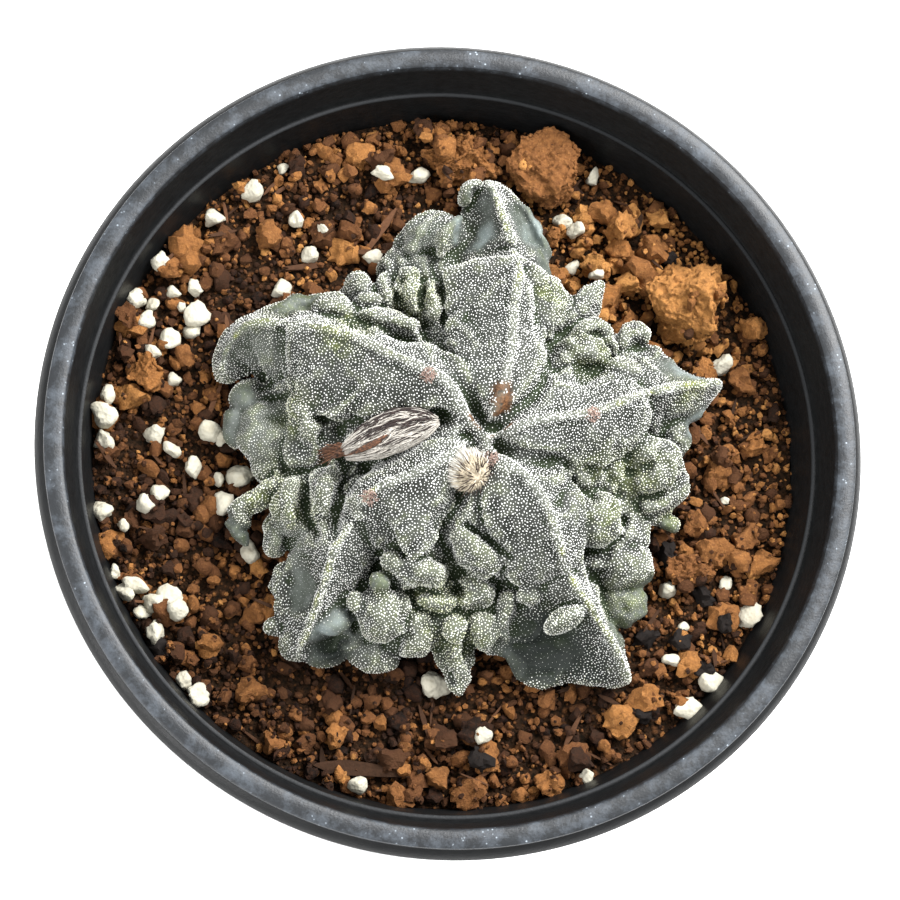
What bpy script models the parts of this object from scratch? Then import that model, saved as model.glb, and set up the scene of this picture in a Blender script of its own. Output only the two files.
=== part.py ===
"""Potted bishop's cap cactus: a five-ribbed, folded cactus in a black nursery pot of gritty clay mix.

All sizes are in millimetres and are turned into metres where a mesh is made. The origin is under
the middle of the pot, +Z is up, and the plant is seen from above with +Y away from the viewer.
"""

import math
import random

import bmesh
import bpy
import numpy as np
from mathutils import Matrix, Vector, noise
from mathutils.bvhtree import BVHTree

MM = 0.001
GAP = 0.3  # clearance between pieces that touch

# Pot
POT_HEIGHT = 100.0
RIM_RADIUS = 60.0
RIM_INNER_RADIUS = 57.1
LIP_RADIUS = 61.4
LIP_DROP = 2.7
LEDGE_RADIUS = 55.5
LEDGE_DROP = 6.6
WALL = 1.5
COLLAR_DROP = 18.0
COLLAR_INNER_RADIUS = 52.6
FLOOR_INNER_RADIUS = 41.6
FLOOR_TOP = 3.8
FLOOR_UNDERSIDE = 2.2
FOOT_WIDTH = 3.2
POT_SIDES = 64
DRAIN_HOLES = 8
DRAIN_HOLE_RADIUS = 3.2
DRAIN_CIRCLE_RADIUS = 29.0
FOOT_NOTCHES = 4
FOOT_NOTCH_WIDTH = 7.0
FOOT_NOTCH_HEIGHT = 1.4

# Soil
SOIL_DROP = 13.4  # below the rim
SOIL_LEVEL = POT_HEIGHT - SOIL_DROP
SOIL_RINGS = 10
SOIL_WAVE = 0.9
SOIL_WAVE_LENGTH = 7.0
SOIL_WAVE_PLACE = 4.7  # where the noise of the waves is read
FINE_WAVES = 2.3  # how many smaller waves there are to each large one
CALM_SHARE = 0.35  # of the waves, left near the plant
LUMP_BED_SHARE = 0.15  # of the waves, left under a clay lump
LUMP_BED_REACH = 0.4
CRUMB_COUNT = 36
CRUMB_RADII = (1.5, 2.9)
PERLITE_RADII = (1.2, 1.9)
GRAIN_LIFT = 0.25  # of its radius, that a grain's middle stands above the bed
GRAIN_TILT = 0.4
GRAIN_LENGTHS = (0.95, 1.25)
GRAIN_HEIGHTS = (0.75, 1.0)
GRAIN_CLEARANCE = 1.6  # from a grain's middle to the plant
GRAIN_WALL_CLEARANCE = 1.0
GRAIN_LUMP_CLEARANCE = 0.6
GRAIN_TRIES = 4000
GRAIN_SEED = 41
CALM_RADIUS = 40.0  # the bed stays nearly level this close to the plant

# Plant
PLANT_MIDDLE = (3.0, -1.0)
NECK_RADIUS = 13.0
NECK_DEPTH = 12.0
NECK_TOP = 8.0  # above the soil's level, inside the body
NECK_SIDES = 32
HOLE_CLEARANCE = 0.4  # between the root neck and the hole it stands in
UNDERSIDE = 1.1  # lowest point of the ribs above the soil's level
LIMB_RINGS = 18
LIMB_SIDES = 16
RIB_SECTION = (1.15, 3.4)  # how rounded the section is across, and how blunt the ends are
FOLD_SECTION = (1.6, 2.4)
FLANK_FULLNESS = 0.6  # how soon the flanks tuck under
BODY_VOXEL = 0.6
BODY_TRIANGLES = 7500

# One row for each place along a rib or fold: x, y, crest height above the soil,
# half-width on the left and on the right seen from its root, and drop from crest to side edge.
RIBS = {
    "north_upper": [
        (4.0, 0.0, 24.0, 1.4, 1.4, 1.0),
        (5.2, 4.0, 26.0, 4.2, 4.0, 2.0),
        (6.6, 10.0, 25.2, 8.6, 6.0, 4.5),
        (7.4, 17.0, 22.8, 9.0, 5.6, 6.5),
        (8.6, 23.5, 20.6, 10.6, 5.6, 6.0),
        (9.0, 27.0, 19.0, 10.0, 5.4, 5.0),
    ],
    "north_lower": [
        (8.4, 18.0, 16.0, 8.0, 6.0, 8.0),
        (8.6, 26.5, 15.8, 11.0, 6.6, 9.0),
        (7.8, 31.0, 14.6, 9.6, 6.4, 9.0),
        (6.4, 36.6, 12.2, 5.6, 5.4, 7.0),
        (5.2, 41.6, 8.6, 3.2, 3.4, 4.0),
    ],
    "west_upper": [
        (1.6, -0.2, 24.0, 1.4, 1.4, 1.0),
        (-1.6, 4.6, 26.0, 3.6, 4.2, 2.0),
        (-5.4, 7.0, 25.4, 5.4, 5.0, 3.5),
        (-10.6, 9.6, 24.2, 8.8, 4.6, 5.5),
        (-16.6, 13.0, 22.0, 12.0, 4.4, 7.5),
        (-22.4, 14.8, 20.0, 12.6, 5.0, 8.5),
        (-26.4, 14.6, 18.2, 10.6, 4.6, 7.0),
    ],
    "west_lower": [
        (-18.0, 14.0, 15.0, 8.0, 6.0, 8.0),
        (-25.6, 16.2, 14.6, 9.4, 5.6, 8.6),
        (-30.6, 16.2, 12.8, 9.6, 3.0, 8.0),
        (-33.6, 13.6, 9.8, 6.4, 2.0, 5.5),
        (-34.6, 10.0, 6.6, 2.8, 0.9, 3.0),
    ],
    "southwest_upper": [
        (1.6, -2.2, 24.0, 1.4, 1.4, 1.0),
        (-2.6, -5.6, 26.0, 4.8, 3.6, 2.5),
        (-7.6, -8.2, 25.4, 9.6, 4.6, 5.0),
        (-12.8, -10.2, 23.8, 11.6, 4.4, 7.0),
        (-16.0, -13.6, 21.4, 9.4, 3.6, 7.5),
    ],
    "southwest_lower": [
        (-12.0, -9.8, 20.0, 7.0, 6.0, 7.0),
        (-17.4, -16.8, 19.4, 6.0, 6.2, 9.0),
        (-19.4, -22.6, 16.6, 5.6, 6.0, 10.0),
        (-21.2, -28.0, 12.0, 5.0, 4.8, 8.5),
        (-22.6, -31.8, 6.6, 2.0, 2.2, 3.5),
    ],
    "southeast_upper": [
        (3.6, -3.4, 24.0, 1.4, 1.4, 1.0),
        (7.4, -6.8, 26.0, 4.4, 6.6, 3.0),
        (11.4, -11.6, 24.6, 6.4, 8.0, 4.5),
        (13.6, -16.4, 22.8, 5.4, 7.6, 6.0),
        (15.4, -20.8, 20.4, 4.6, 8.0, 6.5),
    ],
    "southeast_lower": [
        (12.0, -14.0, 18.0, 6.0, 8.0, 7.0),
        (17.2, -22.6, 17.4, 5.4, 12.0, 10.6),
        (20.4, -26.6, 14.6, 4.4, 12.0, 10.4),
        (23.4, -30.2, 11.6, 3.2, 8.6, 8.6),
        (26.6, -34.6, 7.4, 1.2, 2.4, 3.6),
    ],
    "east_upper": [
        (4.2, -1.8, 24.0, 1.4, 1.4, 1.0),
        (8.4, -0.6, 26.0, 4.4, 3.4, 2.0),
        (14.0, 0.8, 25.0, 7.4, 5.6, 4.5),
        (19.6, 2.2, 23.2, 8.6, 6.8, 6.5),
        (25.0, 5.0, 20.6, 7.6, 6.4, 6.5),
        (28.4, 6.4, 18.6, 5.6, 5.0, 5.5),
    ],
    "east_lower": [
        (20.0, 4.0, 18.0, 7.0, 6.0, 8.0),
        (27.4, 6.4, 16.8, 9.6, 6.0, 9.6),
        (32.6, 8.0, 15.0, 8.4, 5.4, 9.0),
        (35.2, 8.8, 13.2, 6.6, 4.6, 7.4),
        (38.4, 9.8, 10.6, 2.2, 2.6, 4.6),
        (41.0, 10.6, 8.4, 0.9, 1.0, 2.0),
    ],
}

# Folds that stand in the grooves: the same rows, with the height of their underside.
FOLDS = {
    "north_west_flank": (2.0, [(3.0, 33.0, 10.5, 3.5, 4.2, 4.0), (-3.0, 31.6, 9.4, 4.2, 4.6, 4.0),
                               (-8.4, 28.6, 7.2, 2.4, 2.6, 3.0)]),
    "north_east_rim": (2.0, [(7.6, 40.6, 7.6, 0.9, 0.9, 1.6), (10.8, 37.2, 8.0, 1.0, 1.0, 2.0),
                             (12.8, 33.4, 8.4, 1.1, 1.1, 2.2), (14.8, 29.4, 8.6, 1.1, 1.1, 2.2)]),
    "north_tip_leaf": (3.0, [(4.6, 40.6, 9.4, 0.9, 0.9, 1.8), (2.6, 39.8, 9.4, 1.0, 1.0, 2.2),
                             (2.0, 37.6, 9.0, 1.0, 1.0, 2.2)]),
    "north_west_tuft": (4.0, [(1.5, 35.0, 11.6, 0.9, 0.9, 2.4), (-0.8, 31.8, 13.4, 1.3, 1.5, 3.4),
                              (-2.2, 28.6, 13.4, 1.3, 1.5, 3.0)]),
    "north_west_leaf": (2.0, [(-1.4, 36.4, 7.6, 0.9, 0.9, 2.0), (-4.4, 33.0, 10.0, 1.3, 1.5, 3.4),
                              (-6.4, 29.0, 10.4, 1.2, 1.4, 3.0)]),
    "pleat_1": (2.0, [(-12.4, 19.4, 12.0, 1.8, 1.8, 3.0), (-13.8, 23.0, 11.4, 2.2, 2.2, 3.5),
                      (-13.6, 26.4, 8.6, 1.4, 1.4, 2.5)]),
    "pleat_2": (2.0, [(-9.4, 18.6, 13.0, 1.6, 1.6, 3.0), (-10.2, 22.4, 12.0, 1.9, 1.9, 3.5),
                      (-9.8, 26.0, 9.2, 1.4, 1.4, 2.5)]),
    "pleat_3": (2.0, [(-6.2, 18.4, 14.6, 1.6, 1.6, 3.0), (-7.0, 22.6, 14.6, 2.1, 2.1, 4.0),
                      (-6.4, 26.4, 12.4, 1.7, 1.7, 3.0)]),
    "pleat_4": (2.0, [(-2.6, 15.6, 15.0, 1.5, 1.5, 3.0), (-3.4, 20.0, 15.4, 2.2, 2.2, 4.5),
                      (-3.2, 24.6, 13.6, 1.8, 1.8, 3.5)]),
    "groove_roll": (4.0, [(-5.0, 15.6, 16.6, 2.0, 2.0, 3.0), (-9.8, 16.6, 17.4, 2.6, 2.4, 4.0),
                          (-14.8, 18.0, 16.4, 2.2, 2.0, 3.5)]),
    "west_shoulder": (4.0, [(-15.0, 17.0, 16.0, 2.6, 2.6, 3.5), (-18.6, 18.8, 16.0, 3.0, 2.8, 4.0),
                            (-21.6, 18.0, 15.0, 2.4, 2.0, 3.5)]),
    "west_far_hem": (2.0, [(-16.4, 21.4, 8.4, 1.4, 1.6, 2.5), (-23.0, 21.2, 8.0, 2.0, 1.6, 2.5),
                           (-28.8, 17.8, 7.6, 1.8, 1.4, 2.5)]),
    "west_tooth": (3.0, [(-23.0, 8.6, 11.0, 2.0, 2.0, 3.0), (-27.8, 7.6, 8.6, 1.7, 1.7, 2.5),
                         (-31.0, 6.6, 6.0, 1.8, 1.8, 2.5)]),
    "west_ridge": (3.0, [(-24.4, 6.4, 13.6, 2.2, 2.2, 4.0), (-22.0, 2.0, 15.4, 3.0, 3.0, 5.0),
                         (-19.8, -4.6, 13.2, 1.8, 1.8, 3.5)]),
    "claw": (3.0, [(-22.4, -4.6, 12.0, 1.8, 1.8, 3.0), (-27.0, -7.0, 10.8, 1.9, 1.9, 3.0),
                   (-30.6, -9.4, 8.8, 1.8, 1.7, 2.6), (-31.6, -12.6, 6.2, 1.3, 1.2, 2.0),
                   (-30.2, -14.9, 4.6, 0.6, 0.6, 1.0)]),
    "southwest_pleat_1": (2.0, [(-18.0, -3.4, 16.0, 2.0, 2.0, 4.0), (-19.3, -8.6, 17.6, 2.4, 2.6, 5.0),
                                (-18.2, -13.8, 16.0, 1.8, 1.8, 4.0)]),
    "southwest_pleat_2": (2.0, [(-23.2, -5.6, 13.4, 2.0, 2.0, 4.0), (-24.2, -10.2, 14.4, 2.2, 2.2, 5.0),
                                (-23.6, -14.4, 12.6, 1.8, 1.8, 4.0)]),
    "southwest_pleat_3": (2.0, [(-24.6, -9.8, 9.4, 2.0, 2.0, 3.5), (-25.6, -13.6, 9.0, 2.0, 1.8, 3.6),
                                (-25.4, -17.0, 8.2, 1.4, 1.4, 2.6)]),
    "southwest_hem": (1.4, [(-25.0, -17.6, 7.4, 1.0, 1.2, 2.0), (-25.0, -21.0, 7.0, 1.1, 1.2, 2.0),
                            (-23.4, -24.6, 7.4, 1.0, 1.2, 2.0)]),
    "southwest_toe": (1.2, [(-22.4, -26.4, 8.6, 1.8, 2.0, 3.0), (-23.2, -29.4, 7.0, 1.9, 1.8, 3.0),
                            (-22.4, -31.6, 5.0, 1.4, 1.4, 2.0)]),
    "southwest_lip": (1.2, [(-21.6, -31.2, 4.6, 1.2, 1.2, 1.6), (-18.0, -31.4, 4.4, 1.3, 1.3, 1.8),
                            (-15.2, -30.2, 4.4, 1.3, 1.3, 1.8)]),
    "scalloped_hem": (8.0, [(-11.0, -18.0, 18.4, 2.6, 2.4, 4.0), (-7.4, -20.0, 18.6, 2.8, 2.4, 4.0),
                            (-3.6, -20.8, 18.4, 2.8, 2.2, 4.0), (-1.0, -19.2, 17.6, 2.4, 2.0, 3.5)]),
    "valley_roll": (4.0, [(-0.8, -12.4, 19.6, 1.6, 2.0, 3.5), (0.8, -15.8, 20.6, 2.4, 3.2, 5.0),
                          (3.6, -18.2, 19.8, 2.2, 2.8, 4.5), (6.6, -19.8, 17.6, 1.6, 1.8, 3.5)]),
    "spike": (2.0, [(0.4, -24.0, 9.0, 2.6, 2.6, 4.0), (0.6, -29.4, 8.6, 3.2, 3.2, 4.0),
                    (1.2, -33.4, 6.4, 1.9, 1.9, 2.6), (1.5, -36.6, 4.2, 0.6, 0.6, 1.0)]),
    "southeast_left_fold": (2.0, [(9.6, -21.6, 13.4, 2.2, 2.2, 4.0), (7.8, -26.0, 11.6, 3.2, 3.0, 5.0),
                                  (7.4, -31.4, 8.6, 2.8, 2.6, 4.0)]),
    "southeast_hem": (1.2, [(8.6, -30.4, 5.4, 1.6, 1.4, 2.6), (13.0, -33.8, 5.4, 2.2, 1.4, 2.8),
                            (18.4, -34.2, 5.2, 2.2, 1.4, 2.8), (24.4, -35.6, 5.0, 1.6, 1.4, 2.4)]),
    "little_horn": (9.4, [(19.0, -24.6, 18.4, 1.7, 1.7, 2.4), (16.0, -26.6, 17.6, 1.7, 1.7, 2.4),
                          (13.2, -28.4, 16.0, 1.2, 1.2, 1.6)]),
    "east_south_fold": (4.0, [(15.6, -3.4, 18.0, 2.0, 2.0, 4.0), (20.0, -4.6, 16.4, 3.0, 3.0, 5.0),
                              (24.0, -7.4, 13.4, 2.0, 2.0, 4.0)]),
    "whorl_outer": (2.0, [(25.6, -8.6, 10.4, 2.2, 2.0, 3.5), (30.4, -8.6, 10.2, 2.4, 2.2, 4.0),
                          (33.4, -5.2, 10.0, 2.4, 2.2, 4.0), (33.6, -0.6, 9.6, 2.0, 2.0, 3.5)]),
    "green_nub": (3.0, [(30.8, -10.0, 6.0, 1.0, 1.0, 1.6), (34.4, -11.0, 5.2, 0.8, 0.8, 1.2)]),
    "east_low_skirt": (1.4, [(24.0, -12.6, 7.4, 2.4, 2.4, 3.0), (28.4, -12.0, 6.4, 2.0, 2.0, 2.6)]),
    "east_leaf": (3.0, [(24.6, 15.0, 9.4, 2.0, 2.0, 3.0), (27.4, 17.6, 8.6, 1.8, 2.0, 2.4),
                        (30.4, 18.4, 7.6, 0.9, 1.6, 1.6)]),
    "north_east_flap": (2.0, [(12.6, 14.0, 16.0, 2.2, 2.4, 4.0), (14.0, 20.0, 15.6, 2.6, 3.4, 5.0),
                              (13.6, 26.0, 13.0, 2.2, 3.0, 4.0)]),
    "north_east_tongue": (2.0, [(16.6, 17.0, 12.6, 2.2, 2.6, 4.0), (19.4, 21.6, 11.0, 2.4, 2.8, 4.0),
                                (22.6, 25.2, 9.2, 0.9, 0.9, 1.6)]),
    "knob_flap": (6.0, [(16.4, 15.4, 15.4, 1.4, 1.4, 3.0), (20.8, 17.0, 14.6, 1.6, 1.6, 3.0),
                        (24.2, 14.4, 12.4, 1.2, 1.2, 2.4)]),
}

# Round lumps: x, y, height of the middle above the soil, half-sizes along x, y and z, turn about Z.
LUMPS = [
    (3.0, -1.0, 9.0, 20.0, 20.0, 14.4, 0),
    (1.6, -1.0, 4.6, 27.0, 27.0, 5.6, 0),
    (-3.0, 26.0, 4.0, 8.0, 6.6, 5.0, 0),
    (-11.4, 20.8, 4.0, 6.4, 4.6, 6.0, 0),
    (-20.0, 2.0, 7.0, 6.0, 9.0, 6.0, 0),
    (-18.6, -10.0, 6.6, 7.4, 8.0, 6.6, 0),
    (-6.0, -24.0, 5.4, 10.0, 7.0, 5.6, 0),
    (22.6, -12.0, 5.4, 7.0, 8.6, 6.0, 0),
    (26.0, -3.6, 5.8, 8.0, 6.0, 6.0, 0),
    (15.6, 16.6, 6.4, 5.6, 7.6, 6.4, 0),
    (-13.0, 20.4, 10.6, 2.4, 1.6, 2.6, 10),
    (-26.8, 2.0, 5.8, 5.2, 5.0, 5.2, 20),
    (-31.4, 3.2, 3.8, 2.4, 3.2, 2.6, 0),
    (-26.6, -4.0, 4.4, 3.0, 3.0, 3.2, 0),
    (-25.6, -27.0, 3.0, 1.5, 1.3, 1.6, 0),
    (-10.4, -25.6, 9.6, 4.0, 4.2, 5.6, 15),
    (-11.1, -21.8, 14.6, 1.6, 1.3, 1.5, 20),
    (-14.4, -24.6, 12.0, 1.5, 1.4, 1.6, 0),
    (-11.6, -30.6, 4.2, 4.0, 2.6, 3.0, -10),
    (-14.6, -29.0, 4.6, 2.0, 2.4, 3.4, 0),
    (-5.4, -27.0, 7.0, 3.2, 4.4, 5.0, -10),
    (-2.8, -23.6, 11.0, 3.2, 2.0, 3.2, 0),
    (-0.2, -27.8, 9.4, 1.9, 1.8, 1.9, 0),
    (4.4, -27.6, 7.0, 3.0, 2.8, 4.0, 0),
    (2.4, -21.8, 9.0, 4.2, 3.0, 4.0, 0),
    (11.2, -23.4, 12.4, 2.0, 1.9, 2.2, 0),
    (12.0, -8.0, 18.8, 4.6, 3.8, 4.8, 30),
    (19.4, -11.6, 12.2, 5.4, 4.2, 5.4, -10),
    (25.4, -17.4, 6.2, 4.6, 4.0, 4.6, 0),
    (25.6, -22.8, 4.4, 4.2, 3.6, 3.4, 0),
    (26.4, -11.6, 5.4, 2.8, 2.8, 3.8, 0),
    (23.4, -3.2, 11.0, 2.2, 3.2, 3.6, 0),
    (29.6, -3.0, 8.8, 4.6, 4.6, 5.4, 0),
    (27.8, -1.6, 12.0, 3.2, 3.0, 3.2, 0),
    (33.8, 2.0, 5.0, 2.4, 3.4, 4.0, 0),
    (18.6, 12.6, 12.0, 4.4, 3.6, 4.4, 0),
    (16.2, 11.6, 13.6, 2.4, 2.2, 3.0, 0),
    (24.6, 9.6, 12.0, 3.6, 3.0, 4.0, 0),
    (-17.6, -26.6, 9.0, 3.0, 2.2, 2.6, 20),
    (-29.5, 7.0, 4.0, 3.4, 3.4, 4.0, 0),
]

# Dried flower and bud
FLOWER_PATH = [
    (-3.8, 0.2, 0.9),
    (-6.2, -0.2, 2.0),
    (-9.6, -1.1, 2.7),
    (-13.2, -2.7, 2.5),
    (-16.8, -4.3, 1.3),
]
FLOWER_HEIGHT = 24.0
FLOWER_TAIL = [(-16.2, -4.1, 1.1), (-17.6, -4.7, 1.4), (-19.2, -5.4, 1.2), (-20.6, -6.2, 0.7)]
FLOWER_SLOPE = 2.0
TAIL_SLOPE = 0.6
SCALE_ROWS = 5
SCALE_ROW_PLACES = (0.12, 0.15)  # of the first row along the flower, and from row to row
SCALES_PER_ROW = 7
SCALE_LENGTH = 4.4
SCALE_RADIUS = 0.75
SCALE_FLATNESS = 0.7
SCALE_SPREAD = 0.16
SCALE_DEPTH = 0.35  # of its root under the tube's surface
BUD_PLACE = (0.6, -7.2)
BUD_HEIGHT = 26.0
BUD_RADIUS = 2.7
BUD_STRETCH = 1.1
BUD_LEAN = (0.5, -0.54, 0.68)
BRISTLES = 18
BRISTLE_LENGTH = 1.5
BRISTLE_RADIUS = 0.42
BRISTLE_DEPTH = 0.6
BRISTLE_SPREAD = 0.95
POINT_WIDTH = 0.15  # of a scale's or bristle's root radius, left at its point

# Loose lumps of clay: x, y, half-sizes along x, y and z.
LUMP_ROUGHNESS = 0.24
LUMP_ROUGH_LENGTH = 1.7
LUMP_PATTERN_STEP = 7.3  # from one lump's roughness to the next
LUMP_FLAT = -0.62  # how far down a lump is round before it is cut flat
CLAY_LUMPS = [
    (14.4, 44.2, 6.0, 5.2, 4.4),
    (1.4, 45.8, 5.6, 3.6, 3.4),
    (37.0, 23.2, 6.4, 6.9, 4.8),
    (-45.2, 11.4, 2.9, 2.8, 2.8),
    (36.6, -17.4, 3.4, 2.8, 2.4),
]

# White perlite grains: x and y.
PERLITE = [
    (-29.0, 38.4), (-22.8, 33.4), (-21.0, 28.4), (-24.8, 22.8), (-34.6, 34.2), (-37.2, 23.6),
    (-36.4, 19.6), (-40.4, 22.6), (-42.4, 26.8), (-10.4, 40.6), (-5.0, 40.8), (-11.6, 29.0),
    (-41.2, 15.6), (-50.0, 7.2), (-50.4, 4.4), (-50.6, 1.2), (-42.8, 2.0), (-40.4, -0.4),
    (-33.6, -4.8), (-44.0, -8.4), (-42.2, -5.6), (-28.6, -3.6), (-27.0, -12.8), (-48.4, -18.4),
    (-47.2, -21.2), (-45.4, -23.4), (-42.0, -22.2), (-44.2, -26.4), (-40.0, -20.6), (-46.0, -15.6),
    (-38.8, -34.8), (-36.6, -37.0), (-13.6, -50.0), (-1.6, -34.8), (31.4, -20.0), (43.6, -23.4),
    (34.2, -37.6), (37.8, -33.4), (42.6, 15.0), (20.4, 40.8), (16.0, 33.6), (18.0, 32.2),
    (17.8, 27.0), (20.6, 25.6),
]


def clear_scene():
    for thing in list(bpy.data.objects):
        bpy.data.objects.remove(thing, do_unlink=True)


def make_collection(name):
    made = bpy.data.collections.new(name)
    bpy.context.scene.collection.children.link(made)
    return made


def make_material(name, colour, roughness, metallic=0.0):
    material = bpy.data.materials.new(name)
    material.use_nodes = True
    shader = material.node_tree.nodes["Principled BSDF"]
    shader.inputs["Base Color"].default_value = (*colour, 1.0)
    shader.inputs["Roughness"].default_value = roughness
    shader.inputs["Metallic"].default_value = metallic
    material.diffuse_color = (*colour, 1.0)
    return material


def object_from_bmesh(name, shape, collection, material=None):
    mesh = bpy.data.meshes.new(name)
    shape.to_mesh(mesh)
    shape.free()
    thing = bpy.data.objects.new(name, mesh)
    collection.objects.link(thing)
    if material:
        mesh.materials.append(material)
    return thing


def apply_modifiers(thing):
    """The object with its modifiers worked into its mesh."""
    graph = bpy.context.evaluated_depsgraph_get()
    finished = bpy.data.meshes.new_from_object(thing.evaluated_get(graph))
    thing.modifiers.clear()
    old = thing.data
    thing.data = finished
    bpy.data.meshes.remove(old)
    return thing


def remove_all(things):
    for thing in things:
        bpy.data.objects.remove(thing, do_unlink=True)


def make_cutter(thing):
    thing.hide_render = True
    thing.display_type = "WIRE"
    return thing


def add_boolean(thing, other, operation, solver="EXACT"):
    boolean = thing.modifiers.new(operation.title(), "BOOLEAN")
    boolean.operation = operation
    boolean.object = other
    boolean.solver = solver


def union_collection(thing, repeats, solver="EXACT"):
    """Fuse every object of the collection into the object, then remove them."""
    boolean = thing.modifiers.new("Union", "BOOLEAN")
    boolean.operation = "UNION"
    boolean.operand_type = "COLLECTION"
    boolean.collection = repeats
    boolean.solver = solver
    apply_modifiers(thing)
    remove_all(list(repeats.objects))
    bpy.data.collections.remove(repeats)
    return thing


def turned(name, profile, collection, material):
    """A solid turned about Z from a profile of (radius, height) that runs down its outer side."""
    shape = bmesh.new()
    points = [shape.verts.new((radius * MM, 0.0, height * MM)) for radius, height in profile]
    for first, second in zip(points, points[1:]):
        shape.edges.new((first, second))
    thing = object_from_bmesh(name, shape, collection, material)
    screw = thing.modifiers.new("Turn", "SCREW")
    screw.steps = screw.render_steps = POT_SIDES
    screw.use_merge_vertices = True
    screw.merge_threshold = 0.00001
    screw.use_smooth_shade = True
    return thing


def inner_wall(clearance):
    """The pot's inner wall, from the floor to the ledge, moved inwards by the clearance."""
    return [
        (FLOOR_INNER_RADIUS - 0.4 - clearance, FLOOR_TOP + clearance),
        (FLOOR_INNER_RADIUS - clearance, FLOOR_TOP + 0.6 + clearance),
        (COLLAR_INNER_RADIUS - clearance, POT_HEIGHT - COLLAR_DROP),
        (LEDGE_RADIUS - clearance, POT_HEIGHT - LEDGE_DROP),
    ]


def wall_radius(height):
    """Radius of the pot's inner wall at a height."""
    corners = inner_wall(0.0)
    return float(np.interp(height, [z for _, z in corners], [r for r, _ in corners]))


def build_pot(collection, cutters):
    top = POT_HEIGHT
    profile = [(0.0, FLOOR_TOP)]
    profile += inner_wall(0.0)
    profile += [
        (LEDGE_RADIUS + 0.4, top - LEDGE_DROP + 0.5),
        (RIM_INNER_RADIUS, top - 0.6),
        (RIM_INNER_RADIUS + 0.5, top),
        (RIM_RADIUS - 0.5, top),
        (RIM_RADIUS, top - 0.5),
        (RIM_RADIUS - 0.1, top - 1.2),
        (RIM_RADIUS + 0.4, top - 1.6),
        (LIP_RADIUS - 0.1, top - LIP_DROP + 0.1),
        (LIP_RADIUS, top - LIP_DROP - 0.2),
        (LIP_RADIUS - 0.2, top - LIP_DROP - 0.6),
        (LEDGE_RADIUS + WALL + 1.0, top - LIP_DROP - 1.2),
        (LEDGE_RADIUS + WALL, top - LEDGE_DROP - 0.4),
        (COLLAR_INNER_RADIUS + WALL, top - COLLAR_DROP),
        (FLOOR_INNER_RADIUS + WALL, 1.0),
        (FLOOR_INNER_RADIUS + WALL - 0.6, 0.0),
        (FLOOR_INNER_RADIUS + WALL - 0.6 - FOOT_WIDTH, 0.0),
        (FLOOR_INNER_RADIUS + WALL - 1.4 - FOOT_WIDTH, FLOOR_UNDERSIDE),
        (0.0, FLOOR_UNDERSIDE),
    ]
    plastic = make_material("pot_plastic", (0.022, 0.024, 0.026), 0.42)
    pot = turned("pot", profile, collection, plastic)
    for number, shape in enumerate((drain_hole_shape(), foot_notch_shape())):
        cutter = make_cutter(object_from_bmesh(f"pot_cutter_{number}", shape, cutters))
        add_boolean(pot, cutter, "DIFFERENCE")
    return pot


def drain_hole_shape():
    shape = bmesh.new()
    for number in range(DRAIN_HOLES):
        place = Matrix.Rotation(number * math.tau / DRAIN_HOLES, 4, "Z")
        place @= Matrix.Translation((DRAIN_CIRCLE_RADIUS * MM, 0.0, FLOOR_TOP * MM))
        bmesh.ops.create_cone(
            shape,
            cap_ends=True,
            segments=20,
            radius1=DRAIN_HOLE_RADIUS * MM,
            radius2=DRAIN_HOLE_RADIUS * MM,
            depth=4 * FLOOR_TOP * MM,
            matrix=place,
        )
    return shape


def foot_notch_shape():
    shape = bmesh.new()
    for number in range(FOOT_NOTCHES):
        place = Matrix.Rotation((number + 0.5) * math.tau / FOOT_NOTCHES, 4, "Z")
        place @= Matrix.Translation((FLOOR_INNER_RADIUS * MM, 0.0, 0.0))
        size = (4 * FOOT_WIDTH * MM, FOOT_NOTCH_WIDTH * MM, 2 * FOOT_NOTCH_HEIGHT * MM, 1.0)
        bmesh.ops.create_cube(shape, size=1.0, matrix=place @ Matrix.Diagonal(size))
    return shape


def smooth_rows(rows, count):
    """Rows along a smooth curve through the given ones, evenly spread by row."""
    rows = np.array(rows, float)
    padded = np.vstack([2 * rows[0] - rows[1], rows, 2 * rows[-1] - rows[-2]])
    places = np.linspace(0.0, len(rows) - 1.0, count)
    first = np.minimum(places.astype(int), len(rows) - 2)
    step = (places - first)[:, None]
    before, start, end, after = (padded[first + shift] for shift in range(4))
    cubic = 3 * (start - end) + after - before
    square = 2 * before - 5 * start + 4 * end - after
    return start + 0.5 * step * (end - before + step * (square + step * cubic))


def limb_shape(rows, underside, section):
    """A closed rib or fold: a sphere whose rings are drawn out into sections along the rows."""
    sharpness, bluntness = section
    shape = bmesh.new()
    bmesh.ops.create_uvsphere(shape, u_segments=LIMB_SIDES, v_segments=LIMB_RINGS, radius=1.0)
    curve = smooth_rows(rows, 200)
    along = np.gradient(curve[:, :2], axis=0)
    along /= np.linalg.norm(along, axis=1, keepdims=True)
    for vert in shape.verts:
        side, up, run = vert.co
        ring = math.hypot(side, up)
        at = 0.5 * (1.0 + run) * (len(curve) - 1)
        row = curve[int(round(at))]
        forward = along[int(round(at))]
        fullness = (1.0 - abs(run) ** bluntness) ** (1.0 / bluntness)
        across = side / ring if ring > 1e-6 else 0.0
        lift = up / ring if ring > 1e-6 else 0.0
        x, y, crest, left, right, drop = row
        edge = crest - drop
        reach = (left if across > 0 else right) * across * fullness
        if lift >= 0:
            height = edge + drop * (1.0 - abs(across) ** sharpness) * fullness
        else:
            height = edge - (edge - underside) * abs(lift) ** FLANK_FULLNESS * fullness
        vert.co = (
            (x - forward[1] * reach) * MM,
            (y + forward[0] * reach) * MM,
            (SOIL_LEVEL + height) * MM,
        )
    bmesh.ops.recalc_face_normals(shape, faces=shape.faces)
    return shape


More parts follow.
